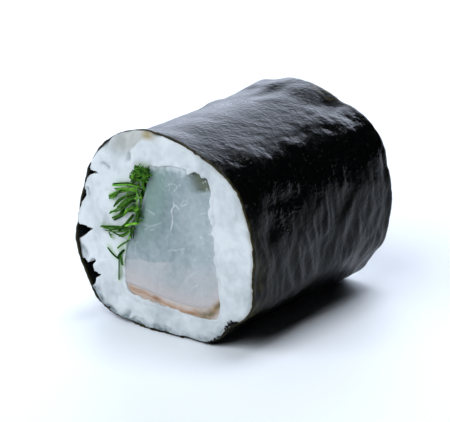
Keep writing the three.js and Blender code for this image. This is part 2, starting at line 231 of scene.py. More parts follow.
# painted light and shade round the rice: darker at the bottom and the top, lighter at the left
RICE_LIGHT_AND_SHADE = [(-80, -0.22, 45), (75, -0.22, 30), (180, 0.1, 40)]
MOTTLED = [(235, 1.0, 30), (285, 0.6, 30)]  # where bits of nori show through the lower rim
# How the cut is worked: heights and depths, with lumps as heights and sizes
CRUMBS, CRUMB_SIZE = 0.5, (0.7, 7 / 3, 0.7)  # of its inner edge, longer along the roll
CUT_LUMPS = [(0.12, 3.0), (0.08, 1.0), (0.04, 0.5)]
CUT_SOFT = 0.2  # how softly the knife takes off what stands out of the cut
NEAR_CUT = (1.5, 3.0)  # depth down to which the knife has worked, and where its work ends
EDGE_HIGH, EDGE_LUMPS = 0.06, [(0.6, 0.8)]  # how far the inner edge stands up
EDGE_BAND = (-0.4, 0.1)  # how far in past the fillings' outline that begins and is full
TONGUE_HIGH, TONGUE_MOST = 0.4, 0.7  # how far the tongues stand up by their reach, up to a most
RIM_ROUND, RIM_WIDE = 0.15, 0.4  # how far it falls off beside the nori, and how near
COVER, COVER_LUMPS = 0.35, [(0.3, (1.3, 6.5, 1.3))]  # share of the nori's cut edge that rice covers
COVER_MORE, COVER_DRAWN = 0.3, (0.4, 0.7)  # more of it where the sheet is drawn back as far as this
COVER_DEEP = (1.2, 1.7)  # depth down to which rice covers it
# How white it is, and where it is tan: strength, angle and spread, and distance from the rim
WHITE, GRAIN_CONTRAST = 0.7, 0.45
TONE_LUMPS = [(0.18, 1.4), (0.12, 0.6)]
# painted shade: the rice is greyer where it lies deep between grains
DEEP_SHADE, DEEP_FROM = 0.5, (0.12, 0.5)  # how much greyer it is at a depth
RIM_TAN, RIM_TAN_AT, RIM_TAN_REACH = 0.4, (10, 60), (0.05, 0.3)
TOP_TAN_AT, TOP_TAN_REACH = (102, 5), (0.5, 1.2)
# the lower rim is greyer: painted shade beside the nori, and the dark nori showing through thin rice
MOTTLED_SHADE, MOTTLED_LUMPS, MOTTLED_REACH = 0.8, [(0.5, 1.1)], (0.1, 1.5)
BITS, BIT_LUMPS, BIT_EDGE = 0.9, [(1.0, 0.45), (0.5, 1.2)], (-0.1, 0.6)  # bits of nori there
LEAF_TINT, LEAF_TINT_REACH = 0.6, (0.1, 0.6)  # green of the leaf on it, and how far that spreads
CAP_SMOOTHING = 3
CAP_SEEDS = {"back": 43, "shown": 41}

# The fish's section: corners and bows of its sides
FISH_BOTTOM_LEFT = (-5.7, 4.0)
FISH_BOTTOM_RIGHT = (9.3, 3.6)
FISH_TOP_RIGHT = (7.4, 22.6)
FISH_TOP_LEFT = (-2.1, 22.3)
FISH_BOTTOM_BOW = (2.4, 2.9)
FISH_RIGHT_BOW = (8.2, 13.0)
FISH_TOP_BOW = (3.0, 23.5)
FISH_LEFT_BOWS = ((-3.4, 14.5), (-8.1, 10.1))
SKIN_LINE = [(-7.5, 5.9), (-3.2, 5.5), (2.2, 4.5), (6.6, 4.8), (8.5, 6.2), (10.5, 8.6)]
# their paleness is partly sinew and partly painted glints
MEMBRANES = [  # pale sinews that show at the cut: points, half width, height, paleness
    ([(2.4, 17.4), (2.0, 17.7), (1.6, 17.4), (1.3, 16.8), (1.5, 16.1), (1.4, 15.1), (1.2, 14.3)],
     0.1, 0.14, 0.9),
    ([(1.85, 17.55), (1.6, 17.9)], 0.09, 0.1, 0.7),
    ([(0.9, 20.2), (1.4, 20.45), (2.0, 20.4), (2.2, 20.1), (1.8, 19.6)], 0.09, 0.08, 0.4),
    ([(1.1, 20.0), (1.0, 19.5)], 0.08, 0.08, 0.35),
    ([(2.8, 17.9), (3.1, 18.4), (3.7, 18.7), (3.9, 18.4), (3.4, 18.0), (3.0, 17.8)], 0.09, 0.08, 0.4),
    ([(-2.8, 16.2), (-2.2, 16.1), (-1.4, 15.8)], 0.09, 0.08, 0.45),
    ([(-3.1, 14.3), (-2.3, 14.1), (-1.2, 14.5), (-0.3, 15.0)], 0.1, 0.08, 0.25),
    ([(-3.0, 13.5), (-2.6, 13.7)], 0.08, 0.06, 0.4),
    ([(-2.1, 13.6), (-1.5, 13.8)], 0.08, 0.06, 0.35),
    ([(0.7, 11.3), (1.2, 11.6), (1.8, 11.7), (2.6, 12.0), (3.4, 12.3)], 0.1, 0.08, 0.35),
    ([(2.9, 11.9), (3.3, 11.6)], 0.08, 0.06, 0.3),
    ([(5.8, 14.3), (6.0, 14.2)], 0.12, 0.1, 0.8),
    ([(4.2, 8.7), (4.6, 9.1), (5.1, 9.4)], 0.1, 0.07, 0.3),
    ([(4.8, 7.4), (5.4, 7.7)], 0.1, 0.07, 0.3),
    ([(0.8, 13.6), (0.5, 12.9), (0.7, 12.1)], 0.1, 0.05, 0.2),
    ([(5.8, 17.3), (6.6, 17.6), (7.4, 17.6)], 0.1, 0.06, 0.35),
    ([(7.4, 16.3), (7.9, 16.6)], 0.1, 0.06, 0.35),
    ([(-4.0, 11.7), (-4.4, 11.4), (-4.6, 10.5), (-4.5, 9.7), (-4.0, 9.4)], 0.12, 0.06, 0.2),
]
# the pale specks are painted glints, each on a small raised dot
FLECKS = 70  # pale specks, most of them along the top and right edges
FLECK_SIZE, FLECK_PALE, FLECK_HIGH = (0.07, 0.14), (0.25, 0.8), 0.12
FLECK_INSET = 0.8  # how far they lie from those edges on average
FLECKS_AT_TOP, FLECK_FOOT = 0.55, 0.35  # share along the top, and where along the right edge they begin
FLECK_SEED = 12
# The top of a paler flake
FOLD = [(-6.5, 8.9), (-5.5, 9.0), (-3.5, 9.4), (-1.9, 9.3), (0.3, 9.9), (1.5, 10.2), (3.2, 12.2)]
FOLD_END = [(7.3, 0.6), (10.1, 2.1), (12.2, 3.2)]  # height and x of that flake's right side
FOLD_EDGE = (-0.15, 0.2)  # how soft its top and its right side are
FOLD_FADE = (-2.2, 1.2)
FOLD_HIGH = 0.12
FLESH_PATCHES = [  # soft patches of the flesh: x, z, reach in x and in z, lighter or darker
    (-2.4, 18.4, 3.0, 4.6, -0.5),
    (0.2, 16.0, 1.4, 3.0, -0.2),
    (-4.2, 13.4, 1.8, 1.6, -0.4),
    (1.0, 21.6, 1.6, 1.2, -0.15),
    (5.2, 16.0, 2.6, 5.0, 0.2),
    (4.2, 19.0, 1.2, 1.0, 0.1),
    (3.6, 11.0, 0.9, 2.8, -0.22),
    (-2.0, 8.0, 3.0, 1.2, 0.2),
    (5.6, 11.0, 2.6, 5.0, 0.2),
    (5.0, 8.0, 3.0, 2.4, 0.25),
]
FLESH_TONE = 0.62
FLESH_RECESS = 0.18
FLESH_CORNER = 0.34  # how much deeper the flake at the top right lies
CORNER_LEFT = (0.45, 13.0, 15.6)  # slope of its left side, and where it begins and is full
CORNER_FOOT = (-0.2, 18.8, 19.4)  # the same for its lower side
FLESH_FOOT = (5.72, 6.9)  # heights of the flesh's lower corners, and of the skin side's upper ones
SKIN_TOP = (5.8, 6.95)
FISH_WIDE, FISH_HIGH = 14, 17
SKIN_HIGH = 1.6
FLESH_ROUND, SKIN_ROUND = 0.3, 0.15  # how far their edges are rounded
LEFT_SHARPER = 2.5  # how much sharper the flesh's left edge is
KNIFE_WAVES = [(0.16, 3.4), (0.08, 1.2), (0.03, 0.5)]  # heights and sizes
# The flesh's colouring: strengths, and the distances or heights where each begins and ends
# painted shade in the deeper flake at the top right, under the rice's edge: how much darker and how olive it
# is
CORNER_SHADE, CORNER_OLIVE_SHADE = 0.6, 0.9
FOLD_PALE, FOLD_PINK = 0.15, 0.32
PINK_FOOT, PINK_FOOT_REACH = 0.85, (0.0, 4.4)
PINK_RIGHT, PINK_RIGHT_X, PINK_RIGHT_REACH = 0.35, (0.5, 4.0), (2.5, 7.5)
GREEN, GREEN_REACH, GREEN_FOOT = 0.7, (0.5, 5.5), (9.5, 15.0)
PALE_EDGE, PALE_EDGE_IN, PALE_EDGE_WIDE = 0.5, 0.25, 0.2  # a pale line along the left edge
PALE_EDGE_FOOT, PALE_EDGE_TOP = (12.5, 14.0), (17.5, 19.0)
SINEW_BROKEN = (0.8, 0.6, 0.45, 0.3)  # mean paleness, how far and over what size it varies, and the least
SINEW_WIDER = 1.1  # how much wider their colour is than their form
# Thin rice over the flesh: strength, how far its edge wanders and over what size, and how far it reaches in
SMEAR_TOP, SMEAR_TOP_END = (0.7, [(0.7, 0.7)], (0.2, 1.4)), (3.2, 4.6)
SMEAR_RIGHT, SMEAR_RIGHT_FOOT, SMEAR_RIGHT_TOP = (0.3, [(0.6, 1.1)], (0.0, 1.1)), (8.0, 11.0), (18.0, 19.2)
# The skin side and its tan streak
SKIN_FIBRES = [(0.1, (1.6, 1, 0.5))]
STREAK_DROP = 0.7  # how far the streak lies below the flesh
STREAK_WAVER = [(0.22, 1.3), (0.12, 0.5)]  # how far it wanders, and over what size
STREAK_ABOVE, STREAK_BELOW, STREAK_WIDER = 0.5, 0.26, 0.3  # its half widths, and how much wider it gets
STREAK_RIGHT = (0.0, 7.0)  # x where it begins to widen and is widest
STREAK_BROKEN = (0.95, 0.7, 1.2, 0.4)  # its strength, as for the sinews
SECOND_STREAK, SECOND_DROP, SECOND_WIDE = 0.55, 0.4, 0.4  # a fainter one below it
# painted shade at the right tip, dark olive brown, in the gap beside the rice
TIP, TIP_BROKEN, TIP_X, TIP_WIDE = 0.9, (0.8, 0.8, 0.7, 0.2), (3.8, 7.4), 0.8
# The meshes of both strips, and how the flesh's grain drifts through the roll
CURVE_STEPS = 40
FLESH_GRID = (150, 175)
GRAIN_DRIFT = 2.2  # how far the grain has moved at the back cut
GRAIN_DRIFT_OVER = 5.0
SKIN_GRID = (96, 16)

# The herb: shreds that lie over the cut, each as points from its outer to its inner end
SHREDS = [
    [(-7.6, 18.7), (-4.9, 19.3), (-3.2, 19.2)],
    [(-8.3, 17.2), (-6.7, 18.0), (-4.7, 18.7)],
    [(-8.2, 16.8), (-7.1, 17.5)],
    [(-7.1, 18.2), (-5.5, 18.7), (-3.9, 18.6)],
    [(-7.4, 15.9), (-6.3, 17.2), (-4.2, 18.4)],
    [(-6.9, 15.8), (-5.5, 17.1), (-3.9, 18.0)],
    [(-8.2, 14.8), (-6.7, 15.8), (-4.2, 17.7)],
    [(-7.9, 14.2), (-6.5, 14.9), (-4.5, 16.2)],
    [(-6.7, 14.8), (-5.7, 16.1), (-4.4, 17.1)],
    [(-5.5, 15.7), (-4.6, 16.3), (-3.6, 16.6)],
    [(-3.8, 19.2), (-3.5, 18.2), (-3.7, 16.9)],
    [(-4.4, 16.9), (-3.8, 16.2), (-3.5, 15.3)],
    [(-3.5, 15.7), (-3.6, 14.4)],
    [(-9.6, 12.7), (-7.7, 12.8), (-5.6, 13.4)],
    [(-8.9, 12.4), (-6.8, 12.6), (-5.2, 13.1)],
    [(-6.8, 12.9), (-5.6, 13.9), (-4.5, 15.1)],
    [(-6.6, 12.1), (-5.6, 12.4), (-4.7, 13.2)],
    [(-5.7, 13.1), (-4.7, 13.5), (-4.7, 12.1)],
    [(-8.2, 12.3), (-8.1, 11.5)],
    [(-5.7, 13.6), (-4.6, 14.1), (-3.4, 14.4)],
    [(-5.3, 11.9), (-4.8, 12.6), (-4.5, 13.5)],
    [(-7.2, 10.2), (-6.4, 10.9), (-5.3, 11.7)],
    [(-8.8, 10.0), (-8.0, 9.2), (-7.2, 8.7)],
    [(-6.2, 10.2), (-6.8, 9.4), (-7.3, 8.7)],
    [(-7.0, 8.9), (-6.9, 7.5), (-7.1, 5.9)],
    [(-6.8, 9.8), (-6.6, 8.7), (-6.5, 8.0)],
]
EDGE_SHREDS = [  # shreds along the fish's left edge
    [(-2.4, 20.8), (-2.9, 19.9), (-2.8, 18.8)],
    [(-3.7, 18.8), (-3.1, 17.9), (-3.5, 16.8)],
    [(-3.1, 16.9), (-3.6, 15.9), (-3.5, 15.0)],
]
UPPER_SHREDS = 13  # the first ones, which make the upper group
LOOSE_SHREDS = 5  # the last ones of these lie alone, without others under them
SHRED_WIDE = (0.17, 0.29)
SHRED_THICK = 0.07
SHRED_PROUD = (0.15, 0.5)  # how far the shreds stand out of the cut
UNDER_PROUD = (-0.1, 0.15)  # and those under them
SHRED_STRAY = 0.22  # how far the shreds under them lie beside them
SHRED_LIFT, SHRED_ARCH = (-0.05, 0.3), (0, 0.25)  # how far its outer end and its middle stand up
SHRED_TWIST, SHRED_FOLD = 1.2, 0.7  # slope of its twist, at most, and of its fold
SHRED_TIP, SHRED_BLUNT = 0.6, 0.35  # width of its ends as a share, and how suddenly it narrows to them
SHRED_DARK = 2.5  # the higher this is, the fewer shreds are light
SHRED_CHANGE, SHRED_SIDE = 0.3, 0.25  # how far its tone changes along it at most, and to its sides
SHRED_SEED = 23
TUFTS = [  # middle and reach, across and up, of the clumps in the thick tuft at the top
    (-4.0, 20.4, 0.6, 0.6),
    (-3.5, 21.4, 0.6, 0.5),
    (-2.6, 21.5, 0.7, 0.4),
    (-2.3, 20.9, 0.5, 0.5),
    (-3.2, 20.7, 0.7, 0.6),
]
TUFT_SHREDS = 34  # in each clump
TUFT_WIDE = (0.1, 0.2)
TUFT_LONG = (0.25, 0.6)  # half the length of its shreds
TUFT_CURL = 0.35
CROSSING_SHREDS = 22  # short ones that lie across the others
CROSSING_LONG = (0.35, 0.85)  # half their length
CROSSING_LIE = (0.7, 0.7)  # mean and spread of their slope, in radians
CROSSING_AT = (0.35, 0.95)  # where along another shred they lie
LEAF_LAYERS = 4  # sheets of leaf that run through the roll in the bundle
LEAF_GRID = (30, 20)
LEAF_BELOW, LEAF_ABOVE = (0.1, 0.8), (0.2, 2.5)  # how far they end below its top and above its foot
LEAF_TONE = (0, 0.3)
LEAF_WAVES = (0.12, 2.3), (0.1, 5)  # height and pace of their waves, up and along them
LEAF_EDGE = (0.1, 3.7)  # the same for their cut edges
LEAF_IN, LEAF_IN_FOOT, LEAF_FOOT = 0.35, 0.6, (15.5, 18.5)  # how far in those lie, and more near the foot
HERB_FOOT, HERB_TOP = 7.4, 21.9
HERB_AREA = (-6, 14, 5, 9)  # middle and reach, across and up, of all that lies over the cut
HERB_WIDE = [(7.4, 0.1), (14.0, 0.2), (18.0, 0.6), (21.9, 1.2)]  # height and width of the bundle there

# The studio: each light's name, place, size, power in watts and tint
LIGHTS = [
    ("overhead", (0, 0.22, 0.78), (0.35, 0.35), 3.3, "#eef4ff"),
    ("behind_left", (-0.33, 0.566, 0.25), (0.56, 0.43), 3.2, "#e1ebff"),
    ("front", (-0.14, -0.5, 0.6), (0.8, 0.6), 6.6, "#edf5ff"),
]
LIGHT_AIM = (0, 0, 0.012)
AIR_TINT, AIR_LIGHT = "#dfe8ff", 0.006
FLOOR_REACH = 2.0

# The camera, fitted to the outline in the photograph
IMAGE_WIDTH = 450
FOCAL_PIXELS = 2562.6
AZIMUTH, ELEVATION = 36.33, 18.68
DISTANCE, ASIDE, RAISED = 340.0, -1.43, 11.7
SENSOR = 36.0
CLIP_NEAR, CLIP_FAR = 0.01, 20


# Numbers

def smoothstep(value, low, high):
    share = np.clip((value - low) / (high - low), 0, 1)
    return share * share * (3 - 2 * share)


def bell(offset, spread):
    return np.exp(-((offset / spread) ** 2))


def fade(value, low, high):
    """1 below a low value, falling to 0 at a high one."""
    return 1 - smoothstep(value, low, high)


def angle_between(a, b):
    return (a - b + 180) % 360 - 180


def hump(angle, at, spread):
    """A soft hump round the section, which is 1 at an angle."""
    return bell(angle_between(angle, at), spread)


def humps(angle, table, base=0):
    """Humps of several angles, heights and spreads in degrees, on a base."""
    for at, height, spread in table:
        base = base + height * hump(angle, at, spread)
    return base


def lumps(points, size):
    """Smooth noise from about -1 to 1, with lumps of a size in millimetres, or of one for each axis."""
    return np.array([noise.noise(point) for point in points / np.array(size)])


def layered(points, table):
    """Lumps of several heights and sizes together."""
    return sum(height * lumps(points, size) for height, size in table)


def soft_spots(points, size, low, high):
    """Spots of a size, which are full where the noise is high and gone where it is low."""
    return smoothstep(lumps(points, size), low, high)


def broken(points, mean, by, size, least):
    """A share that varies by lumps of a size about a mean, from a least share to 1."""
    return np.clip(mean + by * lumps(points, size), least, 1)


def drift(points, size):
    """Two noises, which move points in x and in z."""
    return np.stack([lumps(points, size), lumps(points + LENGTH, size)], -1)


def solid_random(seed):
    """The same draws that placed the bumps of the solids."""
    state = seed
    while True:
        state = (state * 1664525 + 1013904223) % 4294967296
        yield state / 4294967296


# The roll's section

def roll_radius(angle):
    turn = np.radians(angle)
    across = np.abs(2 * np.cos(turn) / WIDTH) ** SQUARENESS
    upright = np.abs(np.sin(turn) / (MIDDLE_Z + SAG)) ** SQUARENESS
    radius = (across + upright) ** (-1 / SQUARENESS)
    return humps(angle, PRESSES, radius)


def section_point(angle, radius, lowest):
    turn = np.radians(angle)
    return radius * np.cos(turn), np.maximum(lowest, MIDDLE_Z + radius * np.sin(turn))


def lap_depth(angle):
    """How far the sheet lies inside the roll's outline where its outer end laps its inner end."""
    past = angle - NORI_START - NORI_LAP
    return (NORI_THICK + LAP_GAP) * fade(past, 0, LAP_FADE)


def nori_inside(angle):
    """Depth of the nori's inner face inside the roll's outline."""
    return lap_depth((angle - NORI_START) % 360 + NORI_START) + NORI_THICK


def make_bumps():
    draws = solid_random(BUMP_SEED)

    def between(low, high):
        return low + (high - low) * next(draws)

    return [
        {
            "angle": 360 * next(draws),
            "y": between(FRONT, BACK),
            "turn": math.radians(between(-BUMP_TURN, BUMP_TURN)),
            "long": between(*BUMP_LONG),
            "wide": between(*BUMP_WIDE),
            "height": between(*BUMP_HEIGHT) * (-1 if next(draws) < 0.5 else 1),
        }
        for _ in range(BUMP_COUNT)
    ]


bumps = make_bumps()


def broad_relief(angle, y):
    """Height of the swells along the roll, and of the long low bumps where grains press through the nori."""
    arc = math.radians(WIDTH / 2)
    height = 0
    for at, by, spread, stretch in SWELLS:
        share = smoothstep(y, *stretch[:2])
        if len(stretch) > 2:
            share = share * fade(y, *stretch[2:])
        height = height + by * share * hump(angle, at, spread)
    for bump in bumps:
        around = angle_between(angle, bump["angle"]) * arc
        along = y - bump["y"]
        u = along * math.cos(bump["turn"]) + around * math.sin(bump["turn"])
        v = around * math.cos(bump["turn"]) - along * math.sin(bump["turn"])
        height = height + bump["height"] * bell(u, bump["long"]) * bell(v, bump["wide"])
    return height


def fine_relief(angle, y):
    """Height of the small lumps of single grains, and of the wrinkles round the right side."""
    turn = np.radians(angle)
    around = np.stack([WIDTH / 2 * np.cos(turn), y, WIDTH / 2 * np.sin(turn)], -1)
    grains = LUMP_HIGH * (np.abs(lumps(around, LUMP_SIZE)) - FOLDED) + layered(around, LUMP_GRIT)
    wrinkles = WRINKLE_HIGH * (FOLDED - np.abs(lumps(around, WRINKLE_SIZE))) + layered(around, WRINKLES)
    side, top, shoulder = (hump(angle, *stretch) for stretch in (SIDE, TOP, SHOULDER))
    on_side, on_top, on_shoulder = GRAINS_SHOW
    grains *= 1 + on_side * side + on_top * top + on_shoulder * shoulder
    return grains + wrinkles * side + layered(around, SHOULDER_LUMPS) * shoulder


def polar(co):
    """Angle in degrees and distance of points from the roll's axis."""
    return np.degrees(np.arctan2(co[:, 2] - MIDDLE_Z, co[:, 0])), np.hypot(co[:, 0], co[:, 2] - MIDDLE_Z)


def pressed_through(co):
    """Points moved out or in with the relief, but not those at the fillings or on the flat underside."""
    angle, radius = polar(co)
    share = smoothstep(radius / roll_radius(angle), *RELIEF_DEPTH) * smoothstep(co[:, 2], *RELIEF_Z)
    grow = 1 + share * (broad_relief(angle, co[:, 1]) + fine_relief(angle, co[:, 1])) / radius
    return np.stack([co[:, 0] * grow, co[:, 1], MIDDLE_Z + (co[:, 2] - MIDDLE_Z) * grow], -1)


# The fish's section

def bezier(points):
    """Points of a Bezier curve of any degree."""
    share = np.linspace(0, 1, CURVE_STEPS + 1)[:, None]
    degree = len(points) - 1
    made = np.zeros((CURVE_STEPS + 1, 2))
    for i, point in enumerate(np.array(points, float)):
        made += math.comb(degree, i) * share**i * (1 - share) ** (degree - i) * point
    return made


def smooth_line(points, steps=12):
    """A Catmull-Rom curve through points."""
    points = np.array(points, float)
    ends = np.vstack([2 * points[0] - points[1], points, 2 * points[-1] - points[-2]])
    share = np.linspace(0, 1, steps, endpoint=False)[:, None]
    made = []
    for before, a, b, after in zip(ends, ends[1:], ends[2:], ends[3:]):
        made.append(
            a
            + share * (b - before) / 2
            + share**2 * (2 * before - 5 * a + 4 * b - after) / 2
            + share**3 * (3 * a - before - 3 * b + after) / 2
        )
    return np.vstack([*made, points[-1:]])


fish_bottom = bezier([FISH_BOTTOM_LEFT, FISH_BOTTOM_BOW, FISH_BOTTOM_RIGHT])
fish_right = bezier([FISH_BOTTOM_RIGHT, FISH_RIGHT_BOW, FISH_TOP_RIGHT])
fish_top = bezier([FISH_TOP_LEFT, FISH_TOP_BOW, FISH_TOP_RIGHT])
fish_left = bezier([FISH_BOTTOM_LEFT, *FISH_LEFT_BOWS[::-1], FISH_TOP_LEFT])
skin_line = smooth_line(SKIN_LINE)


def herb_wide(z):
    """Width of the herb bundle beside the fish at a height."""
    inside = smoothstep(z, HERB_FOOT - 0.6, HERB_FOOT + 0.6) * fade(z, HERB_TOP, HERB_TOP + 0.8)
    return inside * np.interp(z, *zip(*HERB_WIDE))


def filling_outline():
    """Angles and distances from the roll's axis of the outline round fish and herb, in order."""
    left = fish_left.copy()
    left[:, 0] -= herb_wide(left[:, 1])
    loop = np.vstack([fish_bottom[:-1], fish_right[:-1], fish_top[:0:-1], left[:0:-1]])
    for _ in range(6):
        loop = loop / 2 + (np.roll(loop, 1, 0) + np.roll(loop, -1, 0)) / 4
    angle = np.degrees(np.arctan2(loop[:, 1] - MIDDLE_Z, loop[:, 0]))
    order = np.argsort(angle)
    return angle[order], np.hypot(loop[:, 0], loop[:, 1] - MIDDLE_Z)[order]


filling_angles, filling_radii = filling_outline()


def filling_radius(angle):
    return np.interp(angle, filling_angles, filling_radii, period=360)


def x_at(line, z):
    """The x of an upright side of the fish at a height."""
    return np.interp(z, line[:, 1], line[:, 0])


def z_at(line, x):
    """The height of a line across the fish at an x."""
    return np.interp(x, line[:, 0], line[:, 1])


def at_y(flat, y):
    """Points of the section set at a y along the roll."""
    return np.stack([flat[:, 0], np.broadcast_to(y, len(flat)), flat[:, 1]], -1)


def side_of(line, share, low, high):
    """Points of an upright side of the fish between two heights."""
    z = low + (high - low) * share
    return np.stack([x_at(line, z), z], -1)


def run_of(line, share, left, right):
    """Points of a line across the fish between two x."""
    x = left + (right - left) * share
    return np.stack([x, z_at(line, x)], -1)


def patch(u, v, bottom, top, left, right):
    """Points of a four-sided patch between four lines, for shares across and up it."""
    sides = (1 - v)[:, None] * bottom(u) + v[:, None] * top(u)
    sides += (1 - u)[:, None] * left(v) + u[:, None] * right(v)
    zero, one = np.zeros(1), np.ones(1)
    corners = ((1 - u) * (1 - v))[:, None] * bottom(zero) + (u * (1 - v))[:, None] * bottom(one)
    corners += ((1 - u) * v)[:, None] * top(zero) + (u * v)[:, None] * top(one)
    return sides - corners


def within(points, corners):
    """Distance of points inside a closed outline from its sides, and less than none outside it."""
    ring = np.array([*corners, corners[0]])
    odd = np.zeros(len(points), bool)
    for a, b in zip(ring, ring[1:]):
        spans = (a[1] > points[:, 1]) != (b[1] > points[:, 1])
        crossing = a[0] + (points[:, 1] - a[1]) * (b[0] - a[0]) / (b[1] - a[1])
        odd ^= spans & (points[:, 0] < crossing)
    return np.where(odd, 1, -1) * away_from(points, ring)


def away_from(points, line):
    """Distance of points from a line of short stretches."""
    nearest = np.full(len(points), np.inf)
    for a, b in zip(line, line[1:]):
        along = b - a
        share = np.clip(((points - a) @ along) / (along @ along), 0, 1)
        nearest = np.minimum(nearest, np.linalg.norm(points - a - share[:, None] * along, axis=1))
    return nearest


# Meshes

def as_mesh(bm, name):
    mesh = bpy.data.meshes.new(name)
    bm.to_mesh(mesh)
    bm.free()
    return mesh


def points_of(mesh):
    co = np.empty(len(mesh.vertices) * 3)
    mesh.vertices.foreach_get("co", co)
    return co.reshape(-1, 3)


def set_points(mesh, co):
    mesh.vertices.foreach_set("co", co.ravel())
    mesh.update()


def paint(mesh, name, values):
    """Stores a number for each vertex, for the material to read."""
    mesh.attributes.new(name, "FLOAT", "POINT").data.foreach_set("value", np.asarray(values, np.float32))


def flat_grid(across, along):
    """A grid whose x and y run from 0 to 1."""
    bm = bmesh.new()
    bmesh.ops.create_grid(bm, x_segments=across, y_segments=along, size=0.5)
    bmesh.ops.translate(bm, verts=bm.verts, vec=(0.5, 0.5, 0))
    return bm


def fused(bm, voxel):
    """Overlapping closed shapes grown together into one skin."""
    thing = bpy.data.objects.new("fused", as_mesh(bm, "fused"))
    bpy.context.scene.collection.objects.link(thing)
    remesh = thing.modifiers.new("grow_together", "REMESH")
    remesh.mode = "VOXEL"
    remesh.voxel_size = voxel
    mesh = bpy.data.meshes.new_from_object(thing.evaluated_get(bpy.context.evaluated_depsgraph_get()))
    bpy.data.objects.remove(thing)
    return mesh


def finished(mesh, node, material):
    """Takes a mesh from section millimetres to the frame, and makes it the piece that stands for a node."""
    mesh.transform(Matrix.Translation(SECTION_ZERO) @ Matrix.Scale(MM, 4))
    mesh.shade_smooth()
    mesh.materials.append(material)
    piece = bpy.data.objects.new(mesh.name, mesh)
    bpy.context.scene.collection.objects.link(piece)
    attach(piece, "root")
    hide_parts(node)
    return piece


def thickened(piece, thick, offset):
    solidify = piece.modifiers.new("thickness", "SOLIDIFY")
    solidify.thickness = thick * MM
    solidify.offset = offset
    return piece


# Materials

def colour(code):
    """Linear RGBA from an sRGB hex value."""
    parts = [int(code[i : i + 2], 16) / 255 for i in (1, 3, 5)]
    return (*[p / 12.92 if p <= 0.04045 else ((p + 0.055) / 1.055) ** 2.4 for p in parts], 1)


def per(size):
    """Texture scale for features of a size in millimetres."""
    return 1 / (size * MM)


def wire(tree, node, sockets):
    """Sets or links a node's sockets: a link is a node and its output's name."""
    for name, value in sockets.items():
        socket = next(s for s in node.inputs if s.identifier == name)
        if isinstance(value, tuple) and isinstance(value[0], bpy.types.Node):
            source, output = value
            tree.links.new(next(s for s in source.outputs if s.identifier == output), socket)
        else:
            socket.default_value = value


def add(tree, kind, sockets, **settings):
    """Adds a node with its settings, and sets or links its sockets."""
    node = tree.nodes.new(kind)
    for name, value in settings.items():
        setattr(node, name, value)
    wire(tree, node, sockets)
    return node


def new_material(name):
    """A material with its nodes and its shader."""
    material = bpy.data.materials.new(name)
    material.use_nodes = True
    return material, material.node_tree, material.node_tree.nodes["Principled BSDF"]


def laid_over(tree, under, layers):
    """Lays colours over one another, each by a share: a painted attribute's name or an output."""
    for share, over in layers:
        if isinstance(share, str):
            share = (add(tree, "ShaderNodeAttribute", {}, attribute_name=share), "Fac")
        sockets = {"Factor_Float": share, "A_Color": under, "B_Color": over}
        under = (add(tree, "ShaderNodeMix", sockets, data_type="RGBA"), "Result_Color")
    return under


def seaweed_sheet():
    """Roasted seaweed sheet, moist from the rice: black, olive specks, a soft paper sheen, fine pits, painted
    olive edge light.
    """
    material, tree, shader = new_material("roasted_seaweed_sheet")
    spot = add(tree, "ShaderNodeTexCoord", {})
    clouds = add(tree, "ShaderNodeTexNoise", {"Vector": (spot, "Object"), "Scale": per(3.0), "Detail": 5.0})
    fibres = add(tree, "ShaderNodeTexNoise", {"Vector": (spot, "Object"), "Scale": per(0.5), "Detail": 3.0})
    specks = add(
        tree,
        "ShaderNodeMapRange",
        {"Value": (fibres, "Fac"), "From Min": 0.6, "From Max": 0.72, "To Min": 0.0, "To Max": 0.5},
    )
    # the olive of the edge layer is painted light at the sheet's thin edges
    layers = [((specks, "Result"), colour("#2b2a1a")), ("edge", colour("#6e6438"))]
    rough = add(
        tree,
        "ShaderNodeMapRange",
        {"Value": (clouds, "Fac"), "From Min": 0.3, "From Max": 0.7, "To Min": 0.24, "To Max": 0.36},
    )
    wet = add(tree, "ShaderNodeAttribute", {}, attribute_name="wet")
    patchy = add(
        tree,
        "ShaderNodeMix",
        {"Factor_Float": (wet, "Fac"), "A_Float": (rough, "Result"), "B_Float": 0.18},
    )
    bump = add(tree, "ShaderNodeBump", {"Height": (fibres, "Fac"), "Strength": 0.75, "Distance": 0.12 * MM})
    look = {
        "Base Color": laid_over(tree, colour("#040505"), layers),
        "Roughness": (patchy, "Result_Float"),
        "IOR": 1.21,
        "Normal": (bump, "Normal"),
    }
    wire(tree, shader, look)
    return material


def cooked_rice():
    """Cooked short-grain rice, pressed and moist: bluish white, greyer where it is see-through and with
    painted shade.
    """
    material, tree, shader = new_material("cooked_rice")
    spot = add(tree, "ShaderNodeTexCoord", {})
    grit = add(tree, "ShaderNodeTexNoise", {"Vector": (spot, "Object"), "Scale": per(0.5), "Detail": 2.0})
    # the tone carries painted shade and light besides the grains' own whiteness
    layers = [
        ("tone", colour("#dee2e2")),
        ("stain", colour("#a89b78")),
        ("leaf", colour("#bfd8b0")),
        ("bits", colour("#2e3636")),
    ]
    bump = add(tree, "ShaderNodeBump", {"Height": (grit, "Fac"), "Strength": 0.25, "Distance": 0.12 * MM})
    look = {
        "Base Color": laid_over(tree, colour("#849295"), layers),
        "Roughness": 0.38,
        "IOR": 1.4,
        "Subsurface Weight": 0.5,
        "Subsurface Radius": (1.0, 0.95, 0.9),
        "Subsurface Scale": 0.9 * MM,
        "Normal": (bump, "Normal"),
    }
    wire(tree, shader, look)
    return material


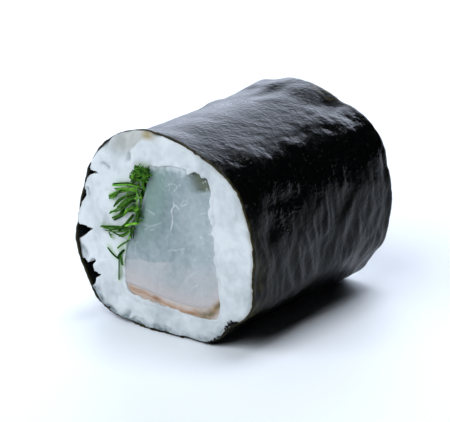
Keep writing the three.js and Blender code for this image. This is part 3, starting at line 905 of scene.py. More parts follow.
def raw_flesh():
    """Raw bream flesh, freshly cut and wet: see-through blue grey, greener above, paler and pinker below."""
    material, tree, shader = new_material("raw_bream_flesh")
    spot = add(tree, "ShaderNodeTexCoord", {})
    clouds = add(
        tree,
        "ShaderNodeTexNoise",
        {"Vector": (spot, "Object"), "Scale": per(2.6), "Detail": 6.0, "Distortion": 1.6},
    )
    ripples = add(tree, "ShaderNodeTexNoise", {"Vector": (spot, "Object"), "Scale": per(0.7), "Detail": 4.0})
    uneven = add(
        tree,
        "ShaderNodeMapRange",
        {"Value": (clouds, "Fac"), "From Min": 0.3, "From Max": 0.7, "To Min": -0.16, "To Max": 0.16},
    )
    streaks = add(
        tree,
        "ShaderNodeMapRange",
        {"Value": (ripples, "Fac"), "From Min": 0.3, "From Max": 0.7, "To Min": -0.12, "To Max": 0.12},
    )
    texture = add(tree, "ShaderNodeMath", {"Value": (uneven, "Result"), "Value_001": (streaks, "Result")})
    tone = add(tree, "ShaderNodeAttribute", {}, attribute_name="tone")
    mottled = add(
        tree, "ShaderNodeMath", {"Value": (tone, "Fac"), "Value_001": (texture, "Value")}, use_clamp=True
    )
    layers = [
        ((mottled, "Value"), colour("#acb6b8")),
        ("pink", colour("#c9bfbd")),
        ("green", colour("#84a093")),
        # the corner colour is painted shade in the deeper flake at the top right
        ("corner", colour("#5d634e")),
        # pale sinews, with painted glints on the specks and on parts of the membranes
        ("sinew", colour("#dadfe1")),
    ]
    bump = add(tree, "ShaderNodeBump", {"Height": (ripples, "Fac"), "Strength": 0.5, "Distance": 0.2 * MM})
    look = {
        "Base Color": laid_over(tree, colour("#637a7b"), layers),
        "Roughness": 0.3,
        "IOR": 1.38,
        "Coat Weight": 0.4,
        "Coat Roughness": 0.12,
        "Coat IOR": 1.34,
        "Subsurface Weight": 0.5,
        "Subsurface Radius": (1.0, 0.95, 0.9),
        "Subsurface Scale": 1.6 * MM,
        "Normal": (bump, "Normal"),
    }
    wire(tree, shader, look)
    return material


def skin_side_flesh():
    """The darker flesh under bream skin, cut and wet: an orange tan streak in pale pinkish flesh."""
    material, tree, shader = new_material("bream_skin_side_flesh")
    spot = add(tree, "ShaderNodeTexCoord", {})
    stretched = add(tree, "ShaderNodeMapping", {"Vector": (spot, "Object"), "Scale": (0.35, 1.0, 1.0)})
    streaks = add(
        tree, "ShaderNodeTexNoise", {"Vector": (stretched, "Vector"), "Scale": per(0.7), "Detail": 4.0}
    )
    spread = add(
        tree,
        "ShaderNodeMapRange",
        {"Value": (streaks, "Fac"), "From Min": 0.35, "From Max": 0.65, "To Min": 0.0, "To Max": 1.0},
    )
    fibres = laid_over(tree, colour("#bd9676"), [((spread, "Result"), colour("#936c48"))])
    # the tip colour is painted shade at the right end
    layers = [("middle", fibres), ("tip", colour("#63592e"))]
    bump = add(tree, "ShaderNodeBump", {"Height": (streaks, "Fac"), "Strength": 0.4, "Distance": 0.15 * MM})
    look = {
        "Base Color": laid_over(tree, colour("#cabdb5"), layers),
        "Roughness": 0.32,
        "IOR": 1.4,
        "Coat Weight": 0.3,
        "Coat Roughness": 0.15,
        "Subsurface Weight": 0.4,
        "Subsurface Radius": (1.0, 0.8, 0.6),
        "Subsurface Scale": 0.8 * MM,
        "Normal": (bump, "Normal"),
    }
    wire(tree, shader, look)
    return material


def shredded_leaf():
    """Shredded green leaf: deep green with lighter strips, matt, with light going through it."""
    material, tree, shader = new_material("shredded_leaf")
    spot = add(tree, "ShaderNodeTexCoord", {})
    clouds = add(tree, "ShaderNodeTexNoise", {"Vector": (spot, "Object"), "Scale": per(0.8), "Detail": 3.0})
    blotches = add(
        tree,
        "ShaderNodeMapRange",
        {"Value": (clouds, "Fac"), "From Min": 0.4, "From Max": 0.7, "To Min": 0.0, "To Max": 0.6},
    )
    layers = [("tone", colour("#80c63c")), ((blotches, "Result"), colour("#1a4d0f"))]
    look = {
        "Base Color": laid_over(tree, colour("#062603"), layers),
        "Roughness": 0.5,
        "IOR": 1.4,
        "Specular IOR Level": 0.12,
        "Subsurface Weight": 0.3,
        "Subsurface Radius": (0.3, 1.0, 0.2),
        "Subsurface Scale": 0.3 * MM,
    }
    wire(tree, shader, look)
    return material


def pale_board():
    """A white coated board: matt, with hardly any tone of its own."""
    material, tree, shader = new_material("white_coated_board")
    spot = add(tree, "ShaderNodeTexCoord", {})
    clouds = add(tree, "ShaderNodeTexNoise", {"Vector": (spot, "Object"), "Scale": per(60.0), "Detail": 2.0})
    tint = laid_over(tree, colour("#f3f6f8"), [((clouds, "Fac"), colour("#f6f8fa"))])
    wire(tree, shader, {"Base Color": tint, "Roughness": 0.6})
    return material


# Nori

def edge_wander(angle, y):
    """How far a cut edge of the sheet wanders outwards, which is less than nothing on average."""
    turn = np.radians(angle)
    broad, fine = RAGGED_WAVES
    return RAGGED * (np.sin(broad * turn + y) + RAGGED_FINE * np.sin(fine * turn + 2) - RAGGED_IN)


def drawn_back(angle):
    """How far the sheet lies back from the shown cut: most at the top left, and not at all at a void."""
    back = np.interp(angle, *zip(*DRAWN_BACK), period=360)
    for corners in VOIDS:
        x, z = np.mean(corners, 0)
        at = math.degrees(math.atan2(z - MIDDLE_Z, x))
        back = back * (1 - hump(angle, at, AT_VOID))
    return back


def add_scraps(bm):
    """Small torn points of the sheet that lie over the rice at the lower right of the shown cut."""
    draw = random.Random(SCRAP_SEED)
    places = []
    for at, spread, count, longest in SCRAPS:
        places += [(draw.gauss(at, spread), longest) for _ in range(count)]
    for angle, longest in places:
        rim = np.array(section_point(angle, float(roll_radius(angle)) - NORI_THICK, NORI_THICK))
        lie = math.radians(angle + 180 + draw.uniform(-SCRAP_LIE, SCRAP_LIE))
        along = np.array([math.cos(lie), math.sin(lie)])
        long, wide = longest * draw.uniform(*SCRAP_LONG), draw.uniform(*SCRAP_WIDE)
        y = FRONT + draw.uniform(*SCRAP_DEEP)
        for vert in bmesh.ops.create_grid(bm, x_segments=3, y_segments=1, size=0.5)["verts"]:
            share = vert.co.x + 0.5
            x, z = rim + along * long * share + along[::-1] * (-1, 1) * vert.co.y * wide * (1.05 - share)
            vert.co = (x, y, max(z, LOWEST))


def nori_wrap():
    bm = flat_grid(NORI_AROUND, NORI_ALONG)
    sheet = len(bm.verts)
    add_scraps(bm)
    mesh = as_mesh(bm, "nori_sheet")
    all_points = points_of(mesh)
    grid = all_points[:sheet]
    angle = NORI_START + (360 + NORI_LAP) * (1 - grid[:, 0])
    y = FRONT + LENGTH * grid[:, 1]
    to_edge = BACK - np.abs(y)
    follow = fade(to_edge, 0, RAGGED_REACH)
    fray = fade(to_edge, 0, FRAY_REACH)
    front = y < 0
    depth = lap_depth(angle)
    x, z = section_point(angle, roll_radius(angle) - depth, depth)
    at_edge = np.stack([x, y, z], -1)
    back = front * drawn_back(angle)
    frayed = (FRAY + FRAY_DRAWN * back) * lumps(at_edge, FRAY_SIZE) * fray
    ragged = (edge_wander(angle, y) - back) * follow + frayed
    co = pressed_through(np.stack([x, y + np.sign(y) * ragged, z], -1))
    set_points(mesh, np.vstack([co, pressed_through(all_points[sheet:])]))
    # painted olive light along the thin cut edges, and in spots near the shown and the far cut
    thin = THIN * fade(to_edge, 0, THIN_REACH) * (1 + lumps(at_edge, THIN_SIZE)) / 2
    patchy = LIT_NEAR * front * fade(to_edge, *LIT_NEAR_REACH) * hump(angle, *LIT_NEAR_AT)
    far = (1 - front) * fade(to_edge, *FAR_REACH) * hump(angle, *FAR_AT)
    olive = np.maximum(thin, far * soft_spots(at_edge, *FAR_SPOTS))
    olive = np.maximum(olive, patchy * soft_spots(at_edge, *LIT_NEAR_SPOTS))
    plain = np.zeros(len(all_points) - sheet)
    paint(mesh, "edge", np.concatenate([olive, plain]))
    past = angle_between(angle, np.interp(y, *zip(*WET_EDGE)))
    past += layered(at_edge, WET_LUMPS)
    wet = fade(past, *WET_SOFT) * smoothstep(past, *WET_FOOT)
    paint(mesh, "wet", np.concatenate([wet, plain]))
    return thickened(finished(mesh, "nori_wrap", seaweed_sheet()), NORI_THICK, -1)


# Rice

def rice_outer(angle):
    return roll_radius(angle) - nori_inside(angle) - RICE_GAP


def add_ring(bm, inset, near, far):
    """A closed ring of pressed rice from the fillings to an inset from the nori, which may be negative."""
    for inner in (True, False):
        for vert in bmesh.ops.create_circle(bm, segments=RING_POINTS, radius=1)["verts"]:
            angle = math.degrees(math.atan2(vert.co.y, vert.co.x))
            radius = rice_outer(angle) - inset
            if inner:
                radius = filling_radius(angle) - RING_UNDER - humps(angle, OVER_FISH)
            x, z = section_point(angle, radius, max(LOWEST, nori_inside(angle) + inset))
            vert.co = (x, near, z)
    flat = bmesh.ops.bridge_loops(bm, edges=bm.edges)["faces"]
    grown = bmesh.ops.extrude_face_region(bm, geom=flat)["geom"]
    moved = [part for part in grown if isinstance(part, bmesh.types.BMVert)]
    bmesh.ops.translate(bm, verts=moved, vec=(0, far - near, 0))
    bmesh.ops.recalc_face_normals(bm, faces=bm.faces)


def grain_places(draw, least):
    """Places in the ring that keep their distance from each other, as x, z and angle."""
    to_filling, to_nori = GRAIN_ROOM
    places = []
    for _ in range(GRAIN_TRIES):
        angle = draw.uniform(-180, 180)
        inner, outer = filling_radius(angle) + to_filling, rice_outer(angle) - to_nori
        radius = draw.uniform(inner, max(inner, outer))
        x, z = section_point(angle, radius, nori_inside(angle) + to_nori)
        if all(math.hypot(x - other[0], z - other[1]) > least for other in places):
            places.append((x, z, angle))
    return places


def add_grains(bm, draw):
    """Grains at a cut, in two layers. Returns the places of the upper one."""
    layers = []
    for deep, least in GRAIN_LAYERS:
        layers.append(grain_places(draw, least))
        for x, z, angle in layers[-1]:
            lie = math.radians(-angle - 90 + draw.uniform(-GRAIN_LIE, GRAIN_LIE))
            tilt = math.radians(90 + draw.uniform(-GRAIN_TILT, GRAIN_TILT))
            turn = Matrix.Rotation(lie, 4, "Y") @ Matrix.Rotation(tilt, 4, "Z")
            size = Matrix.Diagonal((*[s * draw.uniform(*GRAIN_VARIES) for s in GRAIN_SIZE], 1))
            spot = Matrix.Translation((x, FRONT + draw.uniform(*deep), z))
            bmesh.ops.create_icosphere(bm, subdivisions=2, radius=0.5, matrix=spot @ turn @ size)
    return layers[0]


def grain_tones(draw, places, flat):
    """How white the rice is at points of the cut: grains have tones of their own, which run together."""
    total = np.full(len(flat), 1e-6)
    toned = total * 0.5
    for x, z, _ in places:
        weight = bell(np.hypot(flat[:, 0] - x, flat[:, 1] - z), GRAIN_BLUR)
        total += weight
        toned += weight * draw.random()
    return toned / total


def hollow(flat):
    """How far points lie in the hollow at the top left, where the rice is thin and sunken."""
    line = smooth_line(HOLLOW)
    along = np.gradient(line, axis=0)
    nearest = np.argmin(np.linalg.norm(flat[:, None] - line[None], axis=2), 1)
    away = flat - line[nearest]
    across = along[nearest]
    out = (across[:, 0] * away[:, 1] - across[:, 1] * away[:, 0]) / np.linalg.norm(across, axis=1)
    reach = fade(np.linalg.norm(away, axis=1), *HOLLOW_REACH)
    return smoothstep(out, *HOLLOW_EDGE) * reach * smoothstep(flat[:, 1], *HOLLOW_FOOT)


def from_leaf(flat):
    """Distance of points of the cut from the nearest shred over it, infinite where none is near."""
    found = np.full(len(flat), np.inf)
    x, z, across, up = HERB_AREA
    beside = (np.abs(flat[:, 0] - x) < across) & (np.abs(flat[:, 1] - z) < up)
    near = found[beside]
    for line in SHREDS + EDGE_SHREDS:
        near = np.minimum(near, away_from(flat[beside], smooth_line(line, 4)))
    for x, z, across, up in TUFTS:
        near = np.minimum(near, np.maximum(0, np.hypot(flat[beside, 0] - x, flat[beside, 1] - z) - across))
    found[beside] = near
    return found


def grown_cap(draw):
    """The rice of a cut, its grains grown together with the ring. Returns it and the places of its grains."""
    bm = bmesh.new()
    add_ring(bm, -RIM_PRESS, FRONT + RICE_RECESS, FRONT + CAP_DEEP)
    places = add_grains(bm, draw)
    mesh = fused(bm, CAP_VOXEL)
    bm = bmesh.new()
    bm.from_mesh(mesh)
    for _ in range(CAP_SMOOTHING):
        bmesh.ops.smooth_vert(
            bm, verts=bm.verts, factor=0.5, use_axis_x=True, use_axis_y=True, use_axis_z=True
        )
    bm.to_mesh(mesh)
    bm.free()
    return mesh, places


def trimmed(co, angle, radius, front):
    """Radii and section points of the rice, held between the fillings and the nori with uneven edges."""
    crumbs = CRUMBS * np.maximum(0, lumps(co, CRUMB_SIZE)) * humps(angle, *CRUMBLY)
    over_filling = humps(angle, *SCALLOPS) + crumbs + humps(angle, OVER_FISH)
    cover = COVER + layered(co, COVER_LUMPS)
    cover += COVER_MORE * front * smoothstep(drawn_back(angle), *COVER_DRAWN)
    over_nori = nori_inside(angle) * np.clip(cover, 0, 1) * fade(co[:, 1] - FRONT, *COVER_DEEP)
    radius = np.clip(radius, filling_radius(angle) - over_filling, rice_outer(angle) + over_nori)
    x, z = section_point(angle, radius, nori_inside(angle) + RICE_GAP - over_nori)
    return radius, np.stack([x, z], -1)


def knife_work(co, angle, radius, near_cut, sunken):
    """Depth of the rice below the cut, once the knife has smeared it and stood its inner edge up."""
    depth = co[:, 1] - FRONT
    cut = (depth + np.hypot(depth, CUT_SOFT)) / 2
    smeared = cut * (1 - humps(angle, *SMEARED)) * (1 - HOLLOW_FLAT * sunken)
    tongues = np.minimum(humps(angle, TONGUES), TONGUE_MOST)
    raised = humps(angle, RAISED_EDGE, EDGE_HIGH + TONGUE_HIGH * tongues) * (1 + layered(co, EDGE_LUMPS))
    at_edge = smoothstep(filling_radius(angle) - radius, *EDGE_BAND)
    return depth + near_cut * (smeared - depth) - raised * at_edge * near_cut


def shown_cut(co, flat, angle, rim, sunken, near_cut):
    """What the shown cut alone has: how much deeper and browner it is, how much greyer with painted shade,
    and its bits of nori.
    """
    deeper = HOLLOW_DEEP * sunken * near_cut
    browner = np.maximum(fade(rim, *TOP_TAN_REACH) * hump(angle, *TOP_TAN_AT), HOLLOW_TAN * sunken)
    close = humps(angle, MOTTLED) * fade(rim + layered(co, MOTTLED_LUMPS), *MOTTLED_REACH)
    greyer = HOLLOW_SHADE * sunken + MOTTLED_SHADE * close
    bits = BITS * close * smoothstep(layered(co, BIT_LUMPS), *BIT_EDGE)
    torn = flat + TORN * drift(co, TORN_SIZE)
    for corners in VOIDS:
        deeper += VOID_DEEP * smoothstep(within(torn, corners), *VOID_EDGE) * near_cut
    for line, half, deep in CREASES:
        crease = bell(away_from(flat, smooth_line(line)), half) * near_cut
        deeper += deep * crease
        greyer += CREASE_SHADE * crease
    return deeper, greyer, browner, bits


def rice_cap(seed, front):
    """The rice at a cut: grains grown together and smeared by the knife. Returns it with its colouring."""
    draw = random.Random(seed)
    mesh, places = grown_cap(draw)
    co = points_of(mesh)
    angle, radius = polar(co)
    near_cut = fade(co[:, 1] - FRONT, *NEAR_CUT)
    radius, flat = trimmed(co, angle, radius, front)
    sunken = front * hollow(flat)
    depth = knife_work(co, angle, radius, near_cut, sunken)
    tone = WHITE + GRAIN_CONTRAST * grain_tones(draw, places, flat)
    # painted shade: greyer the deeper the rice lies between grains
    tone += layered(co, TONE_LUMPS) - DEEP_SHADE * smoothstep(depth, *DEEP_FROM)
    # painted light and shade by angle round the cut
    tone = humps(angle, RICE_LIGHT_AND_SHADE, tone)
    rim = roll_radius(angle) - NORI_THICK - np.hypot(flat[:, 0], flat[:, 1] - MIDDLE_Z)
    depth += (layered(co, CUT_LUMPS) + RIM_ROUND * fade(rim, 0, RIM_WIDE)) * near_cut
    stain = RIM_TAN * fade(rim, *RIM_TAN_REACH) * hump(angle, *RIM_TAN_AT)
    bits = np.zeros(len(co))
    if front:
        deeper, greyer, browner, bits = shown_cut(co, flat, angle, rim, sunken, near_cut)
        depth += deeper
        # painted shade of the hollow, the lower rim and the creases
        tone -= greyer
        stain = np.maximum(stain, browner)
    set_points(mesh, at_y(flat, FRONT + depth))
    leaf = LEAF_TINT * fade(from_leaf(flat), *LEAF_TINT_REACH) * near_cut
    return mesh, {"tone": np.clip(tone, 0, 1), "stain": stain, "bits": bits, "leaf": leaf}


def sushi_rice():
    back, back_colouring = rice_cap(CAP_SEEDS["back"], False)
    shown, shown_colouring = rice_cap(CAP_SEEDS["shown"], True)
    bm = bmesh.new()
    bm.from_mesh(back)
    bmesh.ops.scale(bm, verts=bm.verts, vec=(1, -1, 1))
    bmesh.ops.reverse_faces(bm, faces=bm.faces)
    bm.from_mesh(shown)
    core = bmesh.new()
    core_end = BACK - CAP_DEEP + CORE_IN_CAP
    add_ring(core, CORE_INSET, -core_end, core_end)
    core_mesh = as_mesh(core, "rice_core")
    bm.from_mesh(core_mesh)
    mesh = as_mesh(bm, "pressed_rice")
    plain = np.zeros(len(core_mesh.vertices))
    for name in shown_colouring:
        paint(mesh, name, np.concatenate([back_colouring[name], shown_colouring[name], plain]))
    set_points(mesh, pressed_through(points_of(mesh)))
    return finished(mesh, "sushi_rice", cooked_rice())


# Fish

def both_cuts(grid_size, name, lines, recess):
    """A closed strip through the roll, with a worked surface at each cut."""
    mesh = as_mesh(flat_grid(*grid_size), name)
    grid = points_of(mesh)
    flat = patch(grid[:, 0], grid[:, 1], *lines)
    bm = bmesh.new()
    for side in (1, -1):
        y = side * (FRONT + recess(flat, grid, side == 1))
        set_points(mesh, at_y(flat, y))
        bm.from_mesh(mesh)
    bmesh.ops.bridge_loops(bm, edges=[edge for edge in bm.edges if edge.is_boundary])
    bmesh.ops.recalc_face_normals(bm, faces=bm.faces)
    bm.to_mesh(mesh)
    bm.free()
    return mesh


def edge_round(near, edge):
    """Extra depth that rounds an edge, from the distance to it."""
    left = np.clip(1 - near / edge, 0, 1)
    return edge * (1 - np.sqrt(1 - left**2))


def strip_lines(low, high, low_z, high_z):
    """The four sides of a strip of fish between two lines across it, with the heights of its four corners."""
    low_left, low_right = low_z
    high_left, high_right = high_z

    def across(line, left_z, right_z):
        left, right = x_at(fish_left, left_z), x_at(fish_right, right_z)
        return lambda u: run_of(line, u, left, right)

    return (
        across(low, low_left, low_right),
        across(high, high_left, high_right),
        lambda v: side_of(fish_left, v, low_left, high_left),
        lambda v: side_of(fish_right, v, low_right, high_right),
    )


def flesh_corner(flat):
    """How far a point lies in the deeper flake at the top right."""
    x, z = flat.T
    lean, *left = CORNER_LEFT
    fall, *foot = CORNER_FOOT
    return smoothstep(x + lean * z, *left) * smoothstep(z + fall * x, *foot)


def below_fold(flat):
    """How far a point lies below the fold, in the paler lower flake."""
    fold = smooth_line(FOLD)
    drop = z_at(fold, flat[:, 0]) - flat[:, 1]
    past = flat[:, 0] - np.interp(flat[:, 1], *zip(*FOLD_END))
    return smoothstep(drop, *FOLD_EDGE) * fade(past, *FOLD_FADE)


def flecks(flat):
    """How far points lie in pale specks, painted glints which are thickest along the top and right edges of
    the cut.
    """
    draw = random.Random(FLECK_SEED)
    found = np.zeros(len(flat))
    for _ in range(FLECKS):
        size, paleness = draw.uniform(*FLECK_SIZE), draw.uniform(*FLECK_PALE)
        share, inset = draw.random(), draw.expovariate(1 / FLECK_INSET)
        if draw.random() < FLECKS_AT_TOP:
            x, z = fish_top[int(share * CURVE_STEPS)] - (0, inset)
        else:
            up = FLECK_FOOT + (1 - FLECK_FOOT) * share
            x, z = fish_right[int(up * CURVE_STEPS)] - (inset, 0)
        found = np.maximum(found, paleness * bell(np.hypot(flat[:, 0] - x, flat[:, 1] - z), size))
    return found


def drifted(flat, front):
    """Points of the shown cut whose grain shows at points of a cut: at the back one it has drifted."""
    moved = drift(at_y(flat, BACK), GRAIN_DRIFT_OVER)
    return flat + np.where(front, 0, GRAIN_DRIFT)[..., None] * moved


def flesh_recess(flat, grid, front):
    seen = drifted(flat, front)
    recess = FLESH_RECESS + front * FLESH_CORNER * flesh_corner(flat) - FOLD_HIGH * below_fold(seen)
    recess += layered(at_y(seen, 0), KNIFE_WAVES) - FLECK_HIGH * flecks(seen)
    for line, half, height, _ in MEMBRANES:
        recess -= height * bell(away_from(seen, smooth_line(line)), half)
    sides = np.minimum(LEFT_SHARPER * grid[:, 0], 1 - grid[:, 0]) * FISH_WIDE
    return recess + edge_round(np.minimum(sides, (1 - grid[:, 1]) * FISH_HIGH), FLESH_ROUND)


def smear(flat, spots):
    """How far thin rice covers the flesh along its top and right edges."""
    x, z = flat.T

    def along(inside, strength, wander, reach):
        return strength * fade(inside + layered(spots, wander), *reach)

    top = along(z_at(fish_top, x) - z, *SMEAR_TOP) * fade(x, *SMEAR_TOP_END)
    right = along(x_at(fish_right, z) - x, *SMEAR_RIGHT)
    return np.maximum(top, right * smoothstep(z, *SMEAR_RIGHT_FOOT) * fade(z, *SMEAR_RIGHT_TOP))


def bream_flesh():
    lines = strip_lines(skin_line, fish_top, FLESH_FOOT, (FISH_TOP_LEFT[1], FISH_TOP_RIGHT[1]))
    mesh = both_cuts(FLESH_GRID, "flesh_strip", lines, flesh_recess)
    co = points_of(mesh)
    front = co[:, 1] < 0
    flat = co[:, [0, 2]]
    seen = drifted(flat, front)
    spots = at_y(seen, co[:, 1])
    # painted shade: the deeper flake at the top right is darker and olive
    corner = front * flesh_corner(flat)
    tone = FLESH_TONE - CORNER_SHADE * corner + FOLD_PALE * below_fold(seen)
    for x, z, reach_x, reach_z, by in FLESH_PATCHES:
        tone += by * bell(seen[:, 0] - x, reach_x) * bell(seen[:, 1] - z, reach_z)
    paint(mesh, "tone", np.clip(tone, 0, 1))
    above = flat[:, 1] - z_at(skin_line, flat[:, 0])
    right = PINK_RIGHT * smoothstep(flat[:, 0], *PINK_RIGHT_X) * fade(above, *PINK_RIGHT_REACH)
    low = np.maximum(right, PINK_FOOT * fade(above, *PINK_FOOT_REACH))
    paint(mesh, "pink", np.maximum(FOLD_PINK * below_fold(seen), low))
    paint(mesh, "corner", CORNER_OLIVE_SHADE * corner)
    beside = flat[:, 0] - x_at(fish_left, flat[:, 1])
    paint(mesh, "green", GREEN * fade(beside, *GREEN_REACH) * smoothstep(flat[:, 1], *GREEN_FOOT))
    upright = smoothstep(flat[:, 1], *PALE_EDGE_FOOT) * fade(flat[:, 1], *PALE_EDGE_TOP)
    pale_edge = PALE_EDGE * bell(beside - PALE_EDGE_IN, PALE_EDGE_WIDE) * upright
    # pale sinews, and painted glints on the specks and parts of the membranes
    sinew = np.maximum(flecks(seen), pale_edge)
    gaps = broken(spots, *SINEW_BROKEN)
    for line, half, _, paleness in MEMBRANES:
        away = away_from(seen, smooth_line(line))
        sinew = np.maximum(sinew, paleness * gaps * bell(away, SINEW_WIDER * half))
    paint(mesh, "sinew", np.maximum(sinew, smear(flat, spots)))
    return finished(mesh, "bream_flesh", raw_flesh())


def skin_recess(flat, grid, front):
    points = at_y(flat, 0 if front else BACK)
    sides = np.minimum(grid[:, 0], 1 - grid[:, 0]) * FISH_WIDE
    rounded = edge_round(np.minimum(sides, grid[:, 1] * SKIN_HIGH), SKIN_ROUND)
    fibres = layered(points, SKIN_FIBRES) * (1 - grid[:, 1])
    return FLESH_RECESS - FOLD_HIGH * grid[:, 1] + layered(points, KNIFE_WAVES) + fibres + rounded


def bream_skin_side():
    lines = strip_lines(fish_bottom, skin_line, (FISH_BOTTOM_LEFT[1], FISH_BOTTOM_RIGHT[1]), SKIN_TOP)
    mesh = both_cuts(SKIN_GRID, "skin_side_strip", lines, skin_recess)
    co = points_of(mesh)
    along = co * (1, 0.1, 1)  # its colouring hardly changes along the roll
    drop = z_at(skin_line, co[:, 0]) - co[:, 2] + layered(along, STREAK_WAVER) - STREAK_DROP
    below = STREAK_BELOW + STREAK_WIDER * smoothstep(co[:, 0], *STREAK_RIGHT)
    streak = bell(drop, np.where(drop < 0, STREAK_ABOVE, below)) * broken(along, *STREAK_BROKEN)
    second = SECOND_STREAK * bell(drop - SECOND_DROP, SECOND_WIDE)
    paint(mesh, "middle", np.maximum(streak, second))
    # painted shade at the right tip
    tip = TIP * broken(along, *TIP_BROKEN) * smoothstep(co[:, 0], *TIP_X)
    paint(mesh, "tip", tip * bell(drop, TIP_WIDE))
    return finished(mesh, "bream_skin_side", skin_side_flesh())


# Herb

def add_shred(bm, draw, points, widths, proud, lightest):
    """A folded strip along points, lifted a little off the cut. Returns its vertices and tones."""
    line = smooth_line(points, 6)
    steps = len(line)
    along = np.gradient(line, axis=0)
    aside = along[:, ::-1] * (-1, 1) / np.linalg.norm(along, axis=1)[:, None]
    made = bmesh.ops.create_grid(bm, x_segments=steps - 1, y_segments=2, size=0.5)["verts"]
    wide, y = draw.uniform(*widths), FRONT - draw.uniform(*proud)
    lift = draw.uniform(*SHRED_LIFT)
    twist = draw.uniform(-SHRED_TWIST, SHRED_TWIST)
    arch = draw.uniform(*SHRED_ARCH)
    light = lightest * draw.random() ** SHRED_DARK
    change = draw.uniform(-SHRED_CHANGE, SHRED_CHANGE)
    tones = []
    for vert in made:
        share, side = vert.co.x + 0.5, vert.co.y
        at = round(share * (steps - 1))
        width = wide * (SHRED_TIP + (1 - SHRED_TIP) * (4 * share * (1 - share)) ** SHRED_BLUNT)
        x, z = line[at] + aside[at] * side * width
        fold = SHRED_FOLD * width * (0.5 - abs(side)) - twist * side * width
        vert.co = (x, y - lift * (1 - share) - arch * math.sin(math.pi * share) - fold, z)
        tones.append(light + lightest * (SHRED_SIDE * abs(side) + change * (share - 0.5)))
    return made, tones


def strayed(draw, points):
    """A shred close to another one."""
    return [(x + draw.gauss(0, SHRED_STRAY), z + draw.gauss(0, SHRED_STRAY)) for x, z in points]


def crossing_shred(draw):
    """Points of a short straight shred that lies across the bundle."""
    base = smooth_line(draw.choice(SHREDS[:UPPER_SHREDS]), 6)
    middle = base[int(len(base) * draw.uniform(*CROSSING_AT))]
    lie = draw.gauss(*CROSSING_LIE)
    half = np.array([math.cos(lie), math.sin(lie)]) * draw.uniform(*CROSSING_LONG)
    return [middle - half, middle + half]


def tuft_shred(draw, clump):
    """Points of a short curled shred in a clump of the tuft at the top of the bundle."""
    x, z, across, up = clump
    turn, out = draw.uniform(0, 2 * math.pi), math.sqrt(draw.random())
    middle = np.array([x + across * out * math.cos(turn), z + up * out * math.sin(turn)])
    lie, curl = draw.uniform(0, 2 * math.pi), draw.uniform(-TUFT_CURL, TUFT_CURL)
    half = np.array([math.cos(lie), math.sin(lie)]) * draw.uniform(*TUFT_LONG)
    return [middle - half, middle + curl * half[::-1] * (-1, 1), middle + half]


def add_leaf_layer(bm, draw, layer):
    """A wavy sheet of leaf that runs through the roll beside the fish. Returns its vertices."""
    columns, rows = LEAF_GRID
    made = bmesh.ops.create_grid(bm, x_segments=columns, y_segments=rows, size=0.5)["verts"]
    top = HERB_TOP - draw.uniform(*LEAF_BELOW)
    foot = HERB_FOOT + draw.uniform(*LEAF_ABOVE)
    phase = draw.uniform(0, 6)
    (up_high, up_pace), (along_high, along_pace) = LEAF_WAVES
    edge_high, edge_pace = LEAF_EDGE
    for vert in made:
        up, along = vert.co.x + 0.5, vert.co.y * 2
        z = foot + (top - foot) * up
        wide = float(herb_wide(z)) * (layer + 0.5) / LEAF_LAYERS
        wave = up_high * math.sin(up_pace * z + phase) + along_high * math.sin(along * along_pace + phase)
        proud = edge_high * math.sin(edge_pace * z + 2 * phase) - LEAF_IN - LEAF_IN_FOOT * fade(z, *LEAF_FOOT)
        vert.co = (float(x_at(fish_left, z)) - wide + wave, along * (BACK + proud), z)
    return made


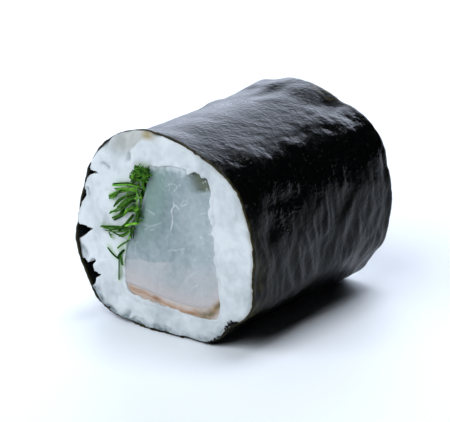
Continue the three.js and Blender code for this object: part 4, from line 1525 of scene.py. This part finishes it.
def herb_shreds():
    draw = random.Random(SHRED_SEED)
    bm = bmesh.new()
    tones = []
    for layer in range(LEAF_LAYERS):
        tones += [draw.uniform(*LEAF_TONE)] * len(add_leaf_layer(bm, draw, layer))
    for side in (1, -1):
        # darker shreds close under the upper ones, painted shade in the gaps between them
        under = [strayed(draw, shred) for shred in SHREDS[:-LOOSE_SHREDS]]
        tuft = [tuft_shred(draw, clump) for clump in TUFTS for _ in range(TUFT_SHREDS)]
        crossing = [crossing_shred(draw) for _ in range(CROSSING_SHREDS)]
        kinds = [
            (under, SHRED_WIDE, UNDER_PROUD, 0.25),
            (EDGE_SHREDS, SHRED_WIDE, UNDER_PROUD, 0.5),
            (tuft, TUFT_WIDE, SHRED_PROUD, 0.7),
            (crossing, SHRED_WIDE, SHRED_PROUD, 1.1),
            (SHREDS[:-LOOSE_SHREDS], SHRED_WIDE, SHRED_PROUD, 1.3),
            (SHREDS[-LOOSE_SHREDS:], SHRED_WIDE, UNDER_PROUD, 0.5),
        ]
        for shreds, widths, proud, lightest in kinds:
            for points in shreds:
                made, strip_tones = add_shred(bm, draw, points, widths, proud, lightest)
                tones += strip_tones
                bmesh.ops.scale(bm, verts=made, vec=(1, side, 1))
    mesh = as_mesh(bm, "leaf_shreds")
    paint(mesh, "tone", np.clip(tones, 0, 1))
    piece = thickened(finished(mesh, "herb_shreds", shredded_leaf()), SHRED_THICK, 0)
    mesh.shade_flat()
    return piece


# Studio

def white_floor():
    bm = bmesh.new()
    bmesh.ops.create_grid(bm, x_segments=2, y_segments=2, size=FLOOR_REACH)
    mesh = as_mesh(bm, "floor")
    mesh.materials.append(pale_board())
    floor = bpy.data.objects.new("floor", mesh)
    bpy.context.scene.collection.objects.link(floor)


def panel(name, place, size, power, tint):
    """A soft area light at a place, turned to the roll."""
    data = bpy.data.lights.new(name, "AREA")
    data.shape = "RECTANGLE"
    data.size, data.size_y = size
    data.energy = power
    data.color = colour(tint)[:3]
    light = bpy.data.objects.new(name, data)
    light.location = place
    light.rotation_euler = (Vector(LIGHT_AIM) - Vector(place)).to_track_quat("-Z", "Y").to_euler()
    bpy.context.scene.collection.objects.link(light)


def studio():
    for light in LIGHTS:
        panel(*light)
    world = bpy.data.worlds.new("studio")
    world.use_nodes = True
    air = world.node_tree.nodes["Background"]
    wire(world.node_tree, air, {"Color": colour(AIR_TINT), "Strength": AIR_LIGHT})
    bpy.context.scene.world = world
    bpy.context.scene.view_settings.view_transform = "Standard"


def camera():
    turn, rise = math.radians(AZIMUTH), math.radians(ELEVATION)
    back = Vector((math.sin(turn) * math.cos(rise), -math.cos(turn) * math.cos(rise), math.sin(rise)))
    right = Vector((math.cos(turn), math.sin(turn), 0))
    data = bpy.data.cameras.new("camera")
    data.sensor_width = SENSOR
    data.lens = FOCAL_PIXELS / IMAGE_WIDTH * SENSOR
    data.clip_start, data.clip_end = CLIP_NEAR, CLIP_FAR
    eye = bpy.data.objects.new("camera", data)
    eye.location = SECTION_ZERO + (back * DISTANCE + right * ASIDE + back.cross(right) * RAISED) * MM
    eye.rotation_euler = (-back).to_track_quat("-Z", "Y").to_euler()
    bpy.context.scene.collection.objects.link(eye)
    bpy.context.scene.camera = eye


camera()
studio()
white_floor()
nori_wrap()
sushi_rice()
bream_flesh()
bream_skin_side()
herb_shreds()
